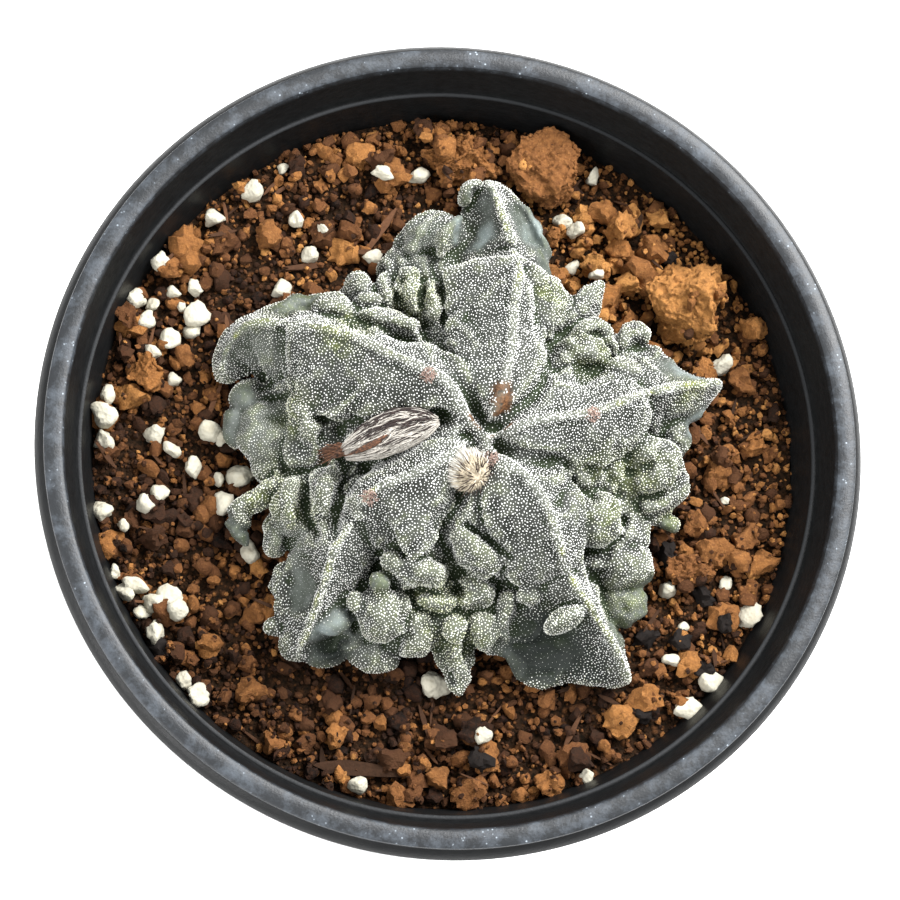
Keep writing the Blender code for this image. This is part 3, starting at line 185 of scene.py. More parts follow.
# Folds that stand in the grooves: the same rows, with the height of their underside.
FOLDS = {
    "north_west_flank": (2.0, [(3.0, 33.0, 10.5, 3.5, 4.2, 4.0), (-3.0, 31.6, 9.4, 4.2, 4.6, 4.0),
                               (-8.4, 28.6, 7.2, 2.4, 2.6, 3.0)]),
    "north_east_rim": (2.0, [(7.6, 40.6, 7.6, 0.9, 0.9, 1.6), (10.8, 37.2, 8.0, 1.0, 1.0, 2.0),
                             (12.8, 33.4, 8.4, 1.1, 1.1, 2.2), (14.8, 29.4, 8.6, 1.1, 1.1, 2.2)]),
    "north_tip_leaf": (3.0, [(4.6, 40.6, 9.4, 0.9, 0.9, 1.8), (2.6, 39.8, 9.4, 1.0, 1.0, 2.2),
                             (2.0, 37.6, 9.0, 1.0, 1.0, 2.2)]),
    "north_west_tuft": (4.0, [(1.5, 35.0, 11.6, 0.9, 0.9, 2.4), (-0.8, 31.8, 13.4, 1.3, 1.5, 3.4),
                              (-2.2, 28.6, 13.4, 1.3, 1.5, 3.0)]),
    "north_west_leaf": (2.0, [(-1.4, 36.4, 7.6, 0.9, 0.9, 2.0), (-4.4, 33.0, 10.0, 1.3, 1.5, 3.4),
                              (-6.4, 29.0, 10.4, 1.2, 1.4, 3.0)]),
    "pleat_1": (2.0, [(-12.4, 19.4, 12.0, 1.8, 1.8, 3.0), (-13.8, 23.0, 11.4, 2.2, 2.2, 3.5),
                      (-13.6, 26.4, 8.6, 1.4, 1.4, 2.5)]),
    "pleat_2": (2.0, [(-9.4, 18.6, 13.0, 1.6, 1.6, 3.0), (-10.2, 22.4, 12.0, 1.9, 1.9, 3.5),
                      (-9.8, 26.0, 9.2, 1.4, 1.4, 2.5)]),
    "pleat_3": (2.0, [(-6.2, 18.4, 14.6, 1.6, 1.6, 3.0), (-7.0, 22.6, 14.6, 2.1, 2.1, 4.0),
                      (-6.4, 26.4, 12.4, 1.7, 1.7, 3.0)]),
    "pleat_4": (2.0, [(-2.6, 15.6, 15.0, 1.5, 1.5, 3.0), (-3.4, 20.0, 15.4, 2.2, 2.2, 4.5),
                      (-3.2, 24.6, 13.6, 1.8, 1.8, 3.5)]),
    "groove_roll": (4.0, [(-5.0, 15.6, 16.6, 2.0, 2.0, 3.0), (-9.8, 16.6, 17.4, 2.6, 2.4, 4.0),
                          (-14.8, 18.0, 16.4, 2.2, 2.0, 3.5)]),
    "west_shoulder": (4.0, [(-15.0, 17.0, 16.0, 2.6, 2.6, 3.5), (-18.6, 18.8, 16.0, 3.0, 2.8, 4.0),
                            (-21.6, 18.0, 15.0, 2.4, 2.0, 3.5)]),
    "west_far_hem": (2.0, [(-16.4, 21.4, 8.4, 1.4, 1.6, 2.5), (-23.0, 21.2, 8.0, 2.0, 1.6, 2.5),
                           (-28.8, 17.8, 7.6, 1.8, 1.4, 2.5)]),
    "west_tooth": (3.0, [(-23.0, 8.6, 11.0, 2.0, 2.0, 3.0), (-27.8, 7.6, 8.6, 1.7, 1.7, 2.5),
                         (-31.0, 6.6, 6.0, 1.8, 1.8, 2.5)]),
    "west_ridge": (3.0, [(-24.4, 6.4, 13.6, 2.2, 2.2, 4.0), (-22.0, 2.0, 15.4, 3.0, 3.0, 5.0),
                         (-19.8, -4.6, 13.2, 1.8, 1.8, 3.5)]),
    "claw": (3.0, [(-22.4, -4.6, 12.0, 1.8, 1.8, 3.0), (-27.0, -7.0, 10.8, 1.9, 1.9, 3.0),
                   (-30.6, -9.4, 8.8, 1.8, 1.7, 2.6), (-31.6, -12.6, 6.2, 1.3, 1.2, 2.0),
                   (-30.2, -14.9, 4.6, 0.6, 0.6, 1.0)]),
    "southwest_pleat_1": (2.0, [(-18.0, -3.4, 16.0, 2.0, 2.0, 4.0), (-19.3, -8.6, 17.6, 2.4, 2.6, 5.0),
                                (-18.2, -13.8, 16.0, 1.8, 1.8, 4.0)]),
    "southwest_pleat_2": (2.0, [(-23.2, -5.6, 13.4, 2.0, 2.0, 4.0), (-24.2, -10.2, 14.4, 2.2, 2.2, 5.0),
                                (-23.6, -14.4, 12.6, 1.8, 1.8, 4.0)]),
    "southwest_pleat_3": (2.0, [(-24.6, -9.8, 9.4, 2.0, 2.0, 3.5), (-25.6, -13.6, 9.0, 2.0, 1.8, 3.6),
                                (-25.4, -17.0, 8.2, 1.4, 1.4, 2.6)]),
    "southwest_hem": (1.4, [(-25.0, -17.6, 7.4, 1.0, 1.2, 2.0), (-25.0, -21.0, 7.0, 1.1, 1.2, 2.0),
                            (-23.4, -24.6, 7.4, 1.0, 1.2, 2.0)]),
    "southwest_toe": (1.2, [(-22.4, -26.4, 8.6, 1.8, 2.0, 3.0), (-23.2, -29.4, 7.0, 1.9, 1.8, 3.0),
                            (-22.4, -31.6, 5.0, 1.4, 1.4, 2.0)]),
    "southwest_lip": (1.2, [(-21.6, -31.2, 4.6, 1.2, 1.2, 1.6), (-18.0, -31.4, 4.4, 1.3, 1.3, 1.8),
                            (-15.2, -30.2, 4.4, 1.3, 1.3, 1.8)]),
    "scalloped_hem": (8.0, [(-11.0, -18.0, 18.4, 2.6, 2.4, 4.0), (-7.4, -20.0, 18.6, 2.8, 2.4, 4.0),
                            (-3.6, -20.8, 18.4, 2.8, 2.2, 4.0), (-1.0, -19.2, 17.6, 2.4, 2.0, 3.5)]),
    "valley_roll": (4.0, [(-0.8, -12.4, 19.6, 2.4, 2.0, 3.5), (0.8, -15.8, 20.6, 3.4, 3.2, 5.0),
                          (3.6, -18.2, 19.8, 3.2, 2.8, 4.5), (6.6, -19.8, 17.6, 2.4, 1.8, 3.5)]),
    "spike": (2.0, [(0.4, -24.0, 9.0, 2.6, 2.6, 4.0), (0.6, -29.4, 8.6, 3.2, 3.2, 4.0),
                    (1.2, -33.4, 6.4, 1.9, 1.9, 2.6), (1.5, -36.6, 4.2, 0.6, 0.6, 1.0)]),
    "southeast_left_fold": (2.0, [(9.6, -21.6, 13.4, 2.2, 2.2, 4.0), (7.8, -26.0, 11.6, 3.2, 3.0, 5.0),
                                  (7.4, -31.4, 8.6, 2.8, 2.6, 4.0)]),
    "southeast_hem": (1.2, [(8.6, -29.6, 5.4, 1.6, 1.4, 2.6), (13.0, -32.6, 5.4, 2.2, 1.4, 2.8),
                            (18.4, -32.7, 5.2, 2.2, 1.4, 2.8), (24.4, -34.4, 5.0, 1.6, 1.4, 2.4)]),
    "little_horn": (9.4, [(19.0, -24.6, 16.8, 1.5, 1.5, 2.2), (16.0, -26.6, 16.9, 1.6, 1.6, 2.4),
                          (13.2, -28.4, 16.0, 1.2, 1.2, 1.6)]),
    "east_south_fold": (4.0, [(15.6, -3.4, 18.0, 2.0, 2.0, 4.0), (20.0, -4.6, 16.4, 3.0, 3.0, 5.0),
                              (24.0, -7.4, 13.4, 2.0, 2.0, 4.0)]),
    "whorl_outer": (2.0, [(25.6, -8.6, 10.4, 2.2, 2.0, 3.5), (30.4, -8.6, 10.2, 2.4, 2.2, 4.0),
                          (33.4, -5.2, 10.0, 2.4, 2.2, 4.0), (33.6, -0.6, 9.6, 2.0, 2.0, 3.5)]),
    "green_nub": (3.0, [(30.8, -10.0, 6.0, 1.0, 1.0, 1.6), (34.4, -11.0, 5.2, 0.8, 0.8, 1.2)]),
    "east_low_skirt": (1.4, [(24.0, -12.6, 7.4, 2.4, 2.4, 3.0), (28.4, -12.0, 6.4, 2.0, 2.0, 2.6)]),
    "east_leaf": (3.0, [(24.6, 15.0, 9.4, 2.0, 2.0, 3.0), (27.4, 17.6, 8.6, 1.8, 2.0, 2.4),
                        (30.4, 18.4, 7.6, 0.9, 1.6, 1.6)]),
    "north_east_flap": (2.0, [(12.6, 14.0, 16.0, 2.2, 2.4, 4.0), (14.0, 20.0, 15.6, 2.6, 3.4, 5.0),
                              (13.6, 26.0, 13.0, 2.2, 3.0, 4.0)]),
    "north_east_tongue": (2.0, [(16.6, 17.0, 12.6, 2.2, 2.6, 4.0), (19.4, 21.6, 11.0, 2.4, 2.8, 4.0),
                                (22.6, 25.2, 9.2, 0.9, 0.9, 1.6)]),
    "knob_flap": (6.0, [(16.4, 15.4, 15.4, 1.4, 1.4, 3.0), (20.8, 17.0, 14.6, 1.6, 1.6, 3.0),
                        (24.2, 14.4, 12.4, 1.2, 1.2, 2.4)]),
}

# Round lumps: x, y, height of the middle above the soil, half-sizes along x, y and z, turn about Z.
LUMPS = [
    (3.0, -1.0, 9.0, 20.0, 20.0, 14.4, 0),
    (1.6, -1.0, 4.6, 27.0, 27.0, 5.6, 0),
    (-3.0, 26.0, 4.0, 8.0, 6.6, 5.0, 0),
    (-11.4, 20.8, 4.0, 6.4, 4.6, 6.0, 0),
    (-20.0, 2.0, 7.0, 6.0, 9.0, 6.0, 0),
    (-18.6, -10.0, 6.6, 7.4, 8.0, 6.6, 0),
    (-6.0, -24.0, 5.4, 10.0, 7.0, 5.6, 0),
    (22.6, -12.0, 5.4, 7.0, 8.6, 6.0, 0),
    (26.0, -3.6, 5.8, 8.0, 6.0, 6.0, 0),
    (15.6, 16.6, 6.4, 5.6, 7.6, 6.4, 0),
    (-13.0, 20.4, 10.6, 2.4, 1.6, 2.6, 10),
    (-26.8, 2.0, 5.8, 5.2, 5.0, 5.2, 20),
    (-31.4, 3.2, 3.8, 2.4, 3.2, 2.6, 0),
    (-26.6, -4.0, 4.4, 3.0, 3.0, 3.2, 0),
    (-25.6, -27.0, 3.0, 1.5, 1.3, 1.6, 0),
    (-10.4, -25.6, 9.6, 4.0, 4.2, 5.6, 15),
    (-11.1, -21.8, 14.6, 1.6, 1.3, 1.5, 20),
    (-14.4, -24.6, 12.0, 1.5, 1.4, 1.6, 0),
    (-11.6, -30.6, 4.2, 4.0, 2.6, 3.0, -10),
    (-14.6, -29.0, 4.6, 2.0, 2.4, 3.4, 0),
    (-5.4, -27.0, 7.0, 3.2, 4.4, 5.0, -10),
    (-2.8, -23.6, 11.0, 3.2, 2.0, 3.2, 0),
    (-0.2, -27.8, 9.4, 1.9, 1.8, 1.9, 0),
    (4.4, -27.6, 7.0, 3.0, 2.8, 4.0, 0),
    (2.4, -21.8, 9.0, 4.2, 3.0, 4.0, 0),
    (11.2, -23.4, 12.4, 2.0, 1.9, 2.2, 0),
    (12.0, -8.0, 18.8, 4.6, 3.8, 4.8, 30),
    (19.4, -11.6, 12.2, 5.4, 4.2, 5.4, -10),
    (25.4, -17.4, 6.2, 4.6, 4.0, 4.6, 0),
    (25.6, -22.8, 4.4, 4.2, 3.6, 3.4, 0),
    (26.4, -11.6, 5.4, 2.8, 2.8, 3.8, 0),
    (23.4, -3.2, 11.0, 2.2, 3.2, 3.6, 0),
    (29.6, -3.0, 8.8, 4.6, 4.6, 5.4, 0),
    (27.8, -1.6, 12.0, 3.2, 3.0, 3.2, 0),
    (33.8, 2.0, 5.0, 2.4, 3.4, 4.0, 0),
    (18.6, 12.6, 12.0, 4.4, 3.6, 4.4, 0),
    (16.2, 11.6, 13.6, 2.4, 2.2, 3.0, 0),
    (24.6, 9.6, 12.0, 3.6, 3.0, 4.0, 0),
    (-17.6, -26.6, 9.0, 3.0, 2.2, 2.6, 20),
    (-29.5, 7.0, 4.0, 3.4, 3.4, 4.0, 0),
]

# Thin folds that stand free of the skin, so nothing is pressed into them.
FREE_FOLDS = ("little_horn", "north_tip_leaf")
# Power of the outline across and along, sides and rings of each sphere that is drawn out
RIB_FORM = (1.15, 3.4, 64, 72)
FOLD_FORM = (1.6, 2.4, 40, 40)

# Sharp creases and round hollows pressed into the skin: half-width, depth,
# and the x, y and height above the soil of the places along them.
CREASES = {
    "east_groove": (2.4, 3.4, [(5.4, -3.8, 23.0), (8.7, -5.0, 22.0), (12.1, -5.3, 21.0), (14.3, -5.7, 20.0),
                               (15.7, -7.2, 18.0), (14.6, -10.2, 18.0)]),
    "dome_groove": (1.6, 2.0, [(15.7, -7.2, 18.0), (17.8, -8.0, 17.0), (19.8, -8.8, 16.0)]),
    "south_groove": (2.4, 3.2, [
        (1.0, -2.5, 23.0), (0.1, -6.4, 22.5), (-0.6, -10.2, 22.0), (-2.8, -14.2, 20.0),
                                (-2.9, -16.2, 18.0), (-0.8, -19.9, 16.0), (-0.1, -22.3, 14.0)]),
    "roll_crease": (1.0, 1.0, [(0.9, -14.4, 20.0), (4.5, -16.5, 19.0), (7.3, -18.5, 18.0)]),
    "west_groove": (2.4, 2.8, [
        (-3.1, 0.7, 22.0), (-8.7, -2.6, 19.0), (-13.9, -5.2, 17.0), (-16.6, -4.2, 16.0),
                               (-19.3, -4.5, 14.0)]),
    "pleat_crease": (1.7, 2.4, [(-13.8, -5.6, 16.0), (-15.5, -7.9, 16.0), (-16.8, -9.6, 16.0),
                                (-17.9, -12.4, 16.0), (-17.7, -15.3, 15.0)]),
    "outer_pleat_crease": (1.6, 2.2, [(-22.2, -6.9, 13.0), (-21.9, -12.0, 13.0), (-20.2, -14.8, 13.0)]),
    "claw_crease": (1.6, 2.0, [
        (-26.9, -5.8, 10.0), (-23.3, -5.1, 11.0), (-20.3, -4.9, 12.0), (-19.1, -4.0, 12.0)]),
    "west_step": (1.6, 2.0, [(-25.5, 9.1, 13.0), (-25.9, 12.2, 14.0), (-25.7, 14.6, 15.0)]),
    "west_crest_crease": (1.6, 1.8, [(-16.2, 15.6, 17.0), (-13.7, 14.1, 17.0), (-10.2, 13.2, 17.0),
                                     (-5.6, 13.5, 17.0), (-4.9, 16.4, 15.0)]),
    "north_west_groove": (2.2, 2.6, [
        (3.5, -0.4, 23.5), (-0.9, 6.8, 21.5), (-2.9, 12.4, 19.0), (-4.9, 15.1, 17.0)]),
    "north_fold_crease": (1.5, 1.8, [(-3.6, 28.6, 12.0), (-3.4, 26.2, 12.0), (-2.8, 22.0, 14.0)]),
    "north_pleat_crease_1": (1.4, 1.8, [(-8.0, 24.0, 12.0), (-7.7, 21.1, 11.0), (-6.3, 18.7, 10.0)]),
    "north_pleat_crease_2": (1.4, 1.8, [(-4.8, 23.8, 13.0), (-4.9, 20.9, 12.0), (-3.5, 17.5, 11.0)]),
    "north_step": (1.6, 1.8, [(-1.3, 26.2, 15.0), (3.8, 28.0, 16.0), (9.0, 28.4, 16.0), (13.4, 26.5, 14.0)]),
    "north_east_groove": (2.2, 2.6, [(5.2, -0.6, 23.5), (10.3, 4.4, 21.0), (13.0, 10.0, 18.0)]),
    "flap_crease": (1.6, 2.2, [
        (10.1, 24.7, 17.0), (11.6, 21.2, 16.0), (11.8, 15.7, 16.0), (13.3, 13.0, 15.0)]),
    "knob_groove": (1.9, 2.6, [
        (13.0, 12.8, 17.0), (15.7, 8.5, 16.0), (18.5, 8.5, 15.0), (21.4, 10.2, 14.0)]),
    "knob_crease": (1.5, 1.8, [(15.6, 16.0, 13.0), (19.6, 18.4, 11.0), (23.2, 16.4, 10.0)]),
    "dome_fold": (1.6, 2.0, [(25.2, -11.7, 10.0), (22.3, -15.6, 9.0), (18.6, -16.4, 11.0)]),
    "whorl_ring": (1.2, 0.9, [(27.5, 0.0, 12.0), (31.0, -2.2, 11.0), (32.6, -4.6, 10.0), (31.0, -7.0, 10.0),
                              (28.0, -7.6, 10.0)]),
    "hem_crease": (1.5, 1.8, [
        (-11.3, -19.7, 13.0), (-7.9, -21.8, 13.0), (-5.2, -22.8, 14.0), (-2.3, -23.2, 13.0)]),
    "lobe_crease": (1.4, 1.6, [(-4.9, -25.1, 11.0), (-2.1, -25.0, 10.0), (0.3, -22.7, 12.0)]),
    "toe_leaf_crease": (1.4, 1.6, [(-14.9, -24.7, 9.0), (-13.9, -27.2, 7.0), (-15.2, -29.1, 6.0)]),
    "toe_crease": (1.4, 1.0, [(-21.3, -30.3, 6.0), (-18.6, -29.7, 6.0), (-15.8, -28.8, 6.0)]),
}
HOLLOWS = {
    "whorl_cup": (3.0, 1.4, [(25.2, -2.4, 12.0), (27.0, -3.2, 12.0)]),
    "knob_pit": (3.4, 1.8, [(18.0, 9.4, 14.0), (19.0, 10.2, 14.0)]),
    "west_pit": (3.6, 2.6, [(-27.8, 8.2, 9.0), (-26.4, 4.6, 8.5)]),
    "southeast_cup": (9.0, 4.2, [(13.4, -28.6, 9.0), (15.4, -29.8, 9.0)]),
    "southwest_cup": (5.4, 2.4, [(-22.2, -18.8, 12.5), (-22.6, -21.8, 11.5)]),
    "north_west_cup": (5.6, 1.8, [(2.8, 31.6, 13.0), (2.8, 34.4, 12.0)]),
    "north_east_cup": (3.2, 1.6, [(9.6, 35.5, 10.5), (11.2, 31.6, 11.0)]),
    "east_cup": (4.8, 1.4, [(32.6, 11.4, 13.0), (34.6, 12.0, 12.0)]),
    "west_cup": (5.6, 1.6, [(-30.6, 9.6, 11.0), (-31.0, 11.6, 12.0)]),
}

# Places on the skin: x, y, height above the soil, reach along the skin.
SMOOTH_PATCHES = [
    (2.6, 33.0, 11.0, 3.4), (3.4, 37.0, 10.0, 2.4), (12.6, 33.8, 8.0, 4.0), (14.6, 29.0, 7.0, 3.4),
    (-23.4, 20.6, 9.0, 3.4), (-32.0, 7.0, 8.0, 2.6), (-33.0, 3.0, 5.0, 2.6), (-21.9, -22.4, 10.0, 3.0),
    (-17.4, -26.8, 8.4, 3.0), (-18.0, -30.6, 5.0, 3.0), (14.6, -30.0, 6.0, 4.4), (10.0, -32.0, 5.0, 2.6),
    (28.5, -20.0, 5.0, 3.0), (27.6, -25.4, 4.0, 3.0), (35.4, 12.6, 9.0, 3.4), (38.4, 3.4, 6.0, 3.4),
    (-31.4, -13.4, 4.0, 2.4), (23.4, -28.0, 6.0, 2.4), (32.0, -12.4, 5.0, 1.8), (36.4, 2.0, 5.0, 2.6),
    (-11.1, -21.8, 16.0, 1.3), (-19.0, -28.0, 8.0, 2.6), (31.0, -16.0, 5.0, 1.6),
]
BLOOM_PATCHES = [
    (-17.6, -27.0, 8.4, 2.6), (2.4, 32.0, 11.0, 2.6), (13.1, 33.8, 8.0, 2.0), (38.6, 3.5, 6.0, 2.4),
    (-9.0, -18.0, 15.0, 2.0), (6.0, -19.4, 14.0, 1.4), (36.0, 12.4, 9.0, 2.0),
]
GREEN_PATCHES = [
    (-18.3, 12.8, 22.0, 3.0), (-15.4, 17.0, 18.0, 3.4), (-31.5, 15.4, 16.0, 3.6), (-24.0, 21.0, 9.0, 4.0),
    (-12.0, -21.1, 16.0, 2.4), (0.8, -29.0, 8.0, 4.6), (18.3, -2.4, 15.0, 4.0), (22.6, -12.1, 15.0, 3.6),
    (27.0, -23.6, 6.0, 4.6), (-27.7, -8.0, 9.0, 4.6), (-22.7, -11.1, 13.0, 3.0), (-2.2, -24.0, 12.0, 4.6),
    (33.6, -10.6, 5.0, 3.0), (14.0, 22.0, 14.0, 3.4), (20.0, 13.0, 13.0, 3.6), (-6.0, 22.0, 13.0, 4.0),
    (0.0, 29.5, 13.0, 3.0), (27.0, -5.0, 11.0, 4.6), (35.6, 8.6, 12.0, 3.0), (-24.0, 4.0, 12.0, 3.6),
]
FINE_PATCHES = [
    (-31.0, 12.0, 11.0, 4.6), (-29.0, 1.6, 8.0, 4.4), (-24.6, -16.4, 10.0, 3.0), (-13.0, -28.0, 7.0, 3.0),
    (34.0, 12.4, 12.0, 3.0), (-6.0, 31.6, 10.0, 4.0), (26.4, -24.0, 7.0, 3.6), (8.0, -30.0, 8.0, 3.0),
]
# Painted shade: deep cups on the skin that are darkened as if in shadow: x, y, height above the soil, reach.
PAINTED_SHADE_PATCHES = [(14.2, -30.4, 7.0, 6.4), (19.8, -32.6, 6.0, 3.4), (-17.6, -30.4, 5.0, 2.6)]
CORK_SPOTS = [(5.6, 2.6, 25.2, 1.4), (5.3, 4.4, 25.7, 1.1), (5.1, 0.9, 24.7, 1.1), (2.6, -0.1, 23.6, 0.9),
              (3.8, -0.7, 23.6, 0.9), (6.3, 0.0, 24.0, 0.7), (1.4, 0.9, 23.4, 0.7), (-13.6, 8.4, 23.4, 0.5)]
AREOLES = [(-5.2, 6.4, 0.95), (-13.4, -11.0, 1.0), (18.7, 1.6, 1.0), (3.9, -5.4, 1.2)]

# Flecks of wool: distance apart and half-width on the faces, on the ridges and on the smooth patches
FLECK_SPACING = (0.37, 0.33, 0.52)
FLECK_RADIUS = (0.19, 0.215, 0.07)
FINE_SPACING = 0.33
FINE_RADIUS = 0.12
FLECK_PIECES = 3

# Dried flower and bud
FLOWER_PATH = [
    (-3.4, 0.3, 0.5), (-6.0, -0.1, 1.9), (-9.6, -1.1, 2.6), (-13.2, -2.7, 2.3), (-17.0, -4.4, 0.8),
]
FLOWER_HEIGHT = 24.0
FLOWER_SLOPE = 2.0
FLOWER_TAIL = [(-15.6, -3.7), (-17.3, -3.8), (-18.7, -3.9), (-20.1, -4.4)]
BUD_PLACE = (0.6, -7.2)
BUD_RADIUS = 2.7
BUD_TIP = Vector((0.5, -0.54, 0.68)).normalized()
BUD_FLUFF_ANGLE = 5.6  # most of the white fluff stands on this side of the tip
FLOWER_WOOL, FLOWER_SCALES, FLOWER_PETALS = 1100, 150, 90  # threads of each kind
BUD_FIBRES, BUD_FLUFF, BUD_BRISTLES, FELT_HAIRS = 700, 900, 46, 150
GOLDEN_TURN = 2.39996  # from each bristle to the next, round the tip

# Loose lumps of clay: x, y, half-sizes along x, y and z.
CLAY_LUMPS = [
    (14.4, 44.2, 6.0, 5.2, 4.4),
    (1.4, 45.8, 5.6, 3.6, 3.4),
    (37.0, 23.2, 6.4, 6.9, 4.8),
    (-45.2, 11.4, 2.9, 2.8, 2.8),
    (36.6, -17.4, 3.4, 2.8, 2.4),
]

# White perlite grains and black charcoal: x and y.
PERLITE = [
    (-30.1, 40.9), (-35.8, 36.2), (-23.1, 35.9), (-21.2, 30.8), (-25.5, 25.1), (-11.6, 30.4),
    (-10.2, 43.5), (-4.6, 43.6), (-43.7, 28.3), (-41.8, 24.2), (-38.6, 25.0), (-47.0, 22.8),
    (-45.7, 19.7), (-37.8, 20.8), (-42.5, 16.6), (-51.3, 7.9), (-51.7, 4.7), (-51.6, 1.0),
    (-44.0, 2.2), (-41.5, -0.1), (-38.2, -3.0), (-34.4, -4.7), (-31.6, -4.1), (-29.6, -3.8),
    (-33.9, -8.3), (-43.2, -6.8), (-45.2, -8.9), (-51.6, -9.7), (-48.5, -11.9), (-49.4, -18.8),
    (-46.5, -20.7), (-48.1, -22.0), (-43.6, -23.2), (-41.1, -22.5), (-39.9, -24.2), (-47.4, -24.5),
    (-45.4, -24.4), (-45.8, -27.0), (-43.4, -27.8), (-29.3, -15.6), (-35.5, 2.9), (-38.8, -34.8),
    (-36.6, -37.0), (-13.6, -50.0), (-1.6, -34.8), (33.4, -20.0), (46.0, -23.8), (36.0, -38.1),
    (40.0, -34.0), (42.6, 15.0), (18.0, 37.2), (19.9, 35.8), (22.8, 44.6),
    (19.5, 29.9), (22.7, 28.3), (-19.4, 34.4), (-45.0, 22.0), (-40.5, 22.0), (-44.5, 14.7),
    (-38.7, 18.2), (-41.2, 10.7), (-33.9, 1.6), (-32.4, 1.2), (36.0, -25.8), (33.9, -30.8),
    (20.9, -48.4), (42.5, -18.8), (5.1, -42.8), (42.7, -6.1), (-25.4, 44.6), (-26.2, -15.4),
]
SMALL_PERLITE = 53  # rows from here on are crumbs of half the size
# Crumbs dropped at random: how many, least and greatest radius, and how deep they sink
FINE_CRUMBS = (7600, (0.3, 0.78), 0.5)
MIDDLING_CRUMBS = (1350, (0.75, 1.5), 0.55)
LARGE_CRUMBS = (90, (1.5, 2.3), 0.6)
DUST_CRUMBS = (2600, (0.25, 0.5), 0.7)
LUMP_TINTS = (0.66, 0.72, 0.93, 0.8, 0.62)
# Modelled crumbs: how many forms, subdivisions, roughness and seed
SMALL_FORMS = (6, 1, 0.3, 1)
MEDIUM_FORMS = (8, 2, 0.4, 20)
LARGE_FORMS = (8, 3, 0.42, 50)
PERLITE_FORMS = (8, 3, 0.22, 80)
# Bark slivers at listed places: x, y, half-length, half-width and turn
BARK_PLACES = [(-10.4, 34.6, 4.0, 0.55, 0.98), (-12.5, -47.6, 6.4, 1.1, 3.05), (-22.0, 29.0, 3.0, 0.5, 0.2)]
LOOSE_SLIVERS = 150
HEAP_REACH = 56.0  # half the side of the grid of heights
CHARCOAL = [(35.2, -27.8), (33.5, -14.6), (39.0, -21.0), (30.3, -27.3), (42.0, -25.2), (38.7, -32.0),
            (5.0, -46.0), (29.1, -39.1), (-42.6, -30.3), (34.3, 31.8)]
BIG_CRUMBS = [
    (-48.0, 19.0), (-40.6, 31.0), (45.7, -11.8), (48.2, -15.9), (39.6, 13.8), (38.5, -10.2),
    (-47.6, 8.0), (-15.8, 31.5), (-13.6, 46.8), (-8.6, 43.3), (24.5, 38.3), (27.5, 36.5),
    (26.8, 32.6), (29.9, 28.9), (24.6, 24.7), (36.5, -31.2), (42.0, -24.3), (29.7, -36.9),
    (26.2, -39.7), (-50.3, -14.6), (-28.7, -24.8), (-29.2, -36.2), (-1.1, -49.1), (3.4, -51.0),
    (27.6, 20.6), (45.7, 12.5), (47.4, 20.6), (23.0, 30.0), (32.0, 33.0), (40.6, -14.6),
]

# Camera and light
TILT_SIDEWAYS = 5.8
TILT_FORWARD = 12.0
CAMERA_DISTANCE = 400.0
PIXELS_PER_MM = 6.812
PICTURE_SIDE = 900.0
RIM_MIDDLE_IN_PICTURE = (456.0, 436.9)
SENSOR = 36.0
# Lamps: name, place, side and power
LAMPS = [("window", (350.0, 310.0, 620.0), 420.0, 15.6), ("bounce", (-480.0, -360.0, 500.0), 500.0, 5.0)]


# Modelling helpers


def fresh(operator, **settings):
    """The object that a primitive operator adds, alone in the selection."""
    bpy.ops.object.select_all(action="DESELECT")
    operator(**settings)
    return bpy.context.object


def points_of(piece):
    flat = np.empty(len(piece.data.vertices) * 3, np.float32)
    piece.data.vertices.foreach_get("co", flat)
    return flat.reshape(-1, 3).astype(float) / MM


def normals_of(piece):
    flat = np.empty(len(piece.data.vertices) * 3, np.float32)
    piece.data.vertices.foreach_get("normal", flat)
    return flat.reshape(-1, 3).astype(float)


def triangles_of(piece):
    piece.data.calc_loop_triangles()
    flat = np.empty(len(piece.data.loop_triangles) * 3, np.int32)
    piece.data.loop_triangles.foreach_get("vertices", flat)
    return flat.reshape(-1, 3)


def set_points(piece, points):
    piece.data.vertices.foreach_set("co", (points * MM).astype(np.float32).ravel())
    piece.data.update()


def set_value(piece, name, values):
    """A number at each point of the mesh, for its material to read."""
    attribute = piece.data.attributes.new(name, "FLOAT", "POINT")
    attribute.data.foreach_set("value", np.asarray(values, np.float32))


def apply_modifiers(piece):
    bpy.ops.object.select_all(action="DESELECT")
    piece.select_set(True)
    bpy.context.view_layer.objects.active = piece
    for modifier in list(piece.modifiers):
        bpy.ops.object.modifier_apply(modifier=modifier.name)
    return piece


def join(pieces, name):
    bpy.ops.object.select_all(action="DESELECT")
    for piece in pieces:
        piece.select_set(True)
    bpy.context.view_layer.objects.active = pieces[0]
    bpy.ops.object.join()
    pieces[0].name = name
    return pieces[0]


def mesh_piece(name, points, faces):
    mesh = bpy.data.meshes.new(name)
    mesh.from_pydata((np.asarray(points) * MM).tolist(), [], np.asarray(faces).tolist())
    mesh.update()
    piece = bpy.data.objects.new(name, mesh)
    bpy.context.scene.collection.objects.link(piece)
    return piece


def smooth_shade(piece, angle=None):
    bpy.ops.object.select_all(action="DESELECT")
    piece.select_set(True)
    bpy.context.view_layer.objects.active = piece
    if angle is None:
        bpy.ops.object.shade_smooth()
    else:
        bpy.ops.object.shade_smooth_by_angle(angle=math.radians(angle))
    return piece


def roughen(piece, size, height, **settings):
    """Displace the surface along its normals by a cloud-like texture."""
    texture = bpy.data.textures.new(piece.name + "_relief", "CLOUDS")
    texture.noise_scale = size * MM
    for key, value in settings.items():
        setattr(texture, key, value)
    displace = piece.modifiers.new("Relief", "DISPLACE")
    displace.texture = texture
    displace.texture_coords = "LOCAL"
    displace.strength = height * MM
    return displace


def wear(piece, material, body_slot, *nodes):
    """Give a finished piece its material, attach it to the root body and hide the CAD nodes it stands for;
    the body slot is not used.
    """
    piece.data.materials.clear()
    piece.data.materials.append(material)
    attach(piece, "root")
    if nodes:
        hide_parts(*nodes)
    return piece


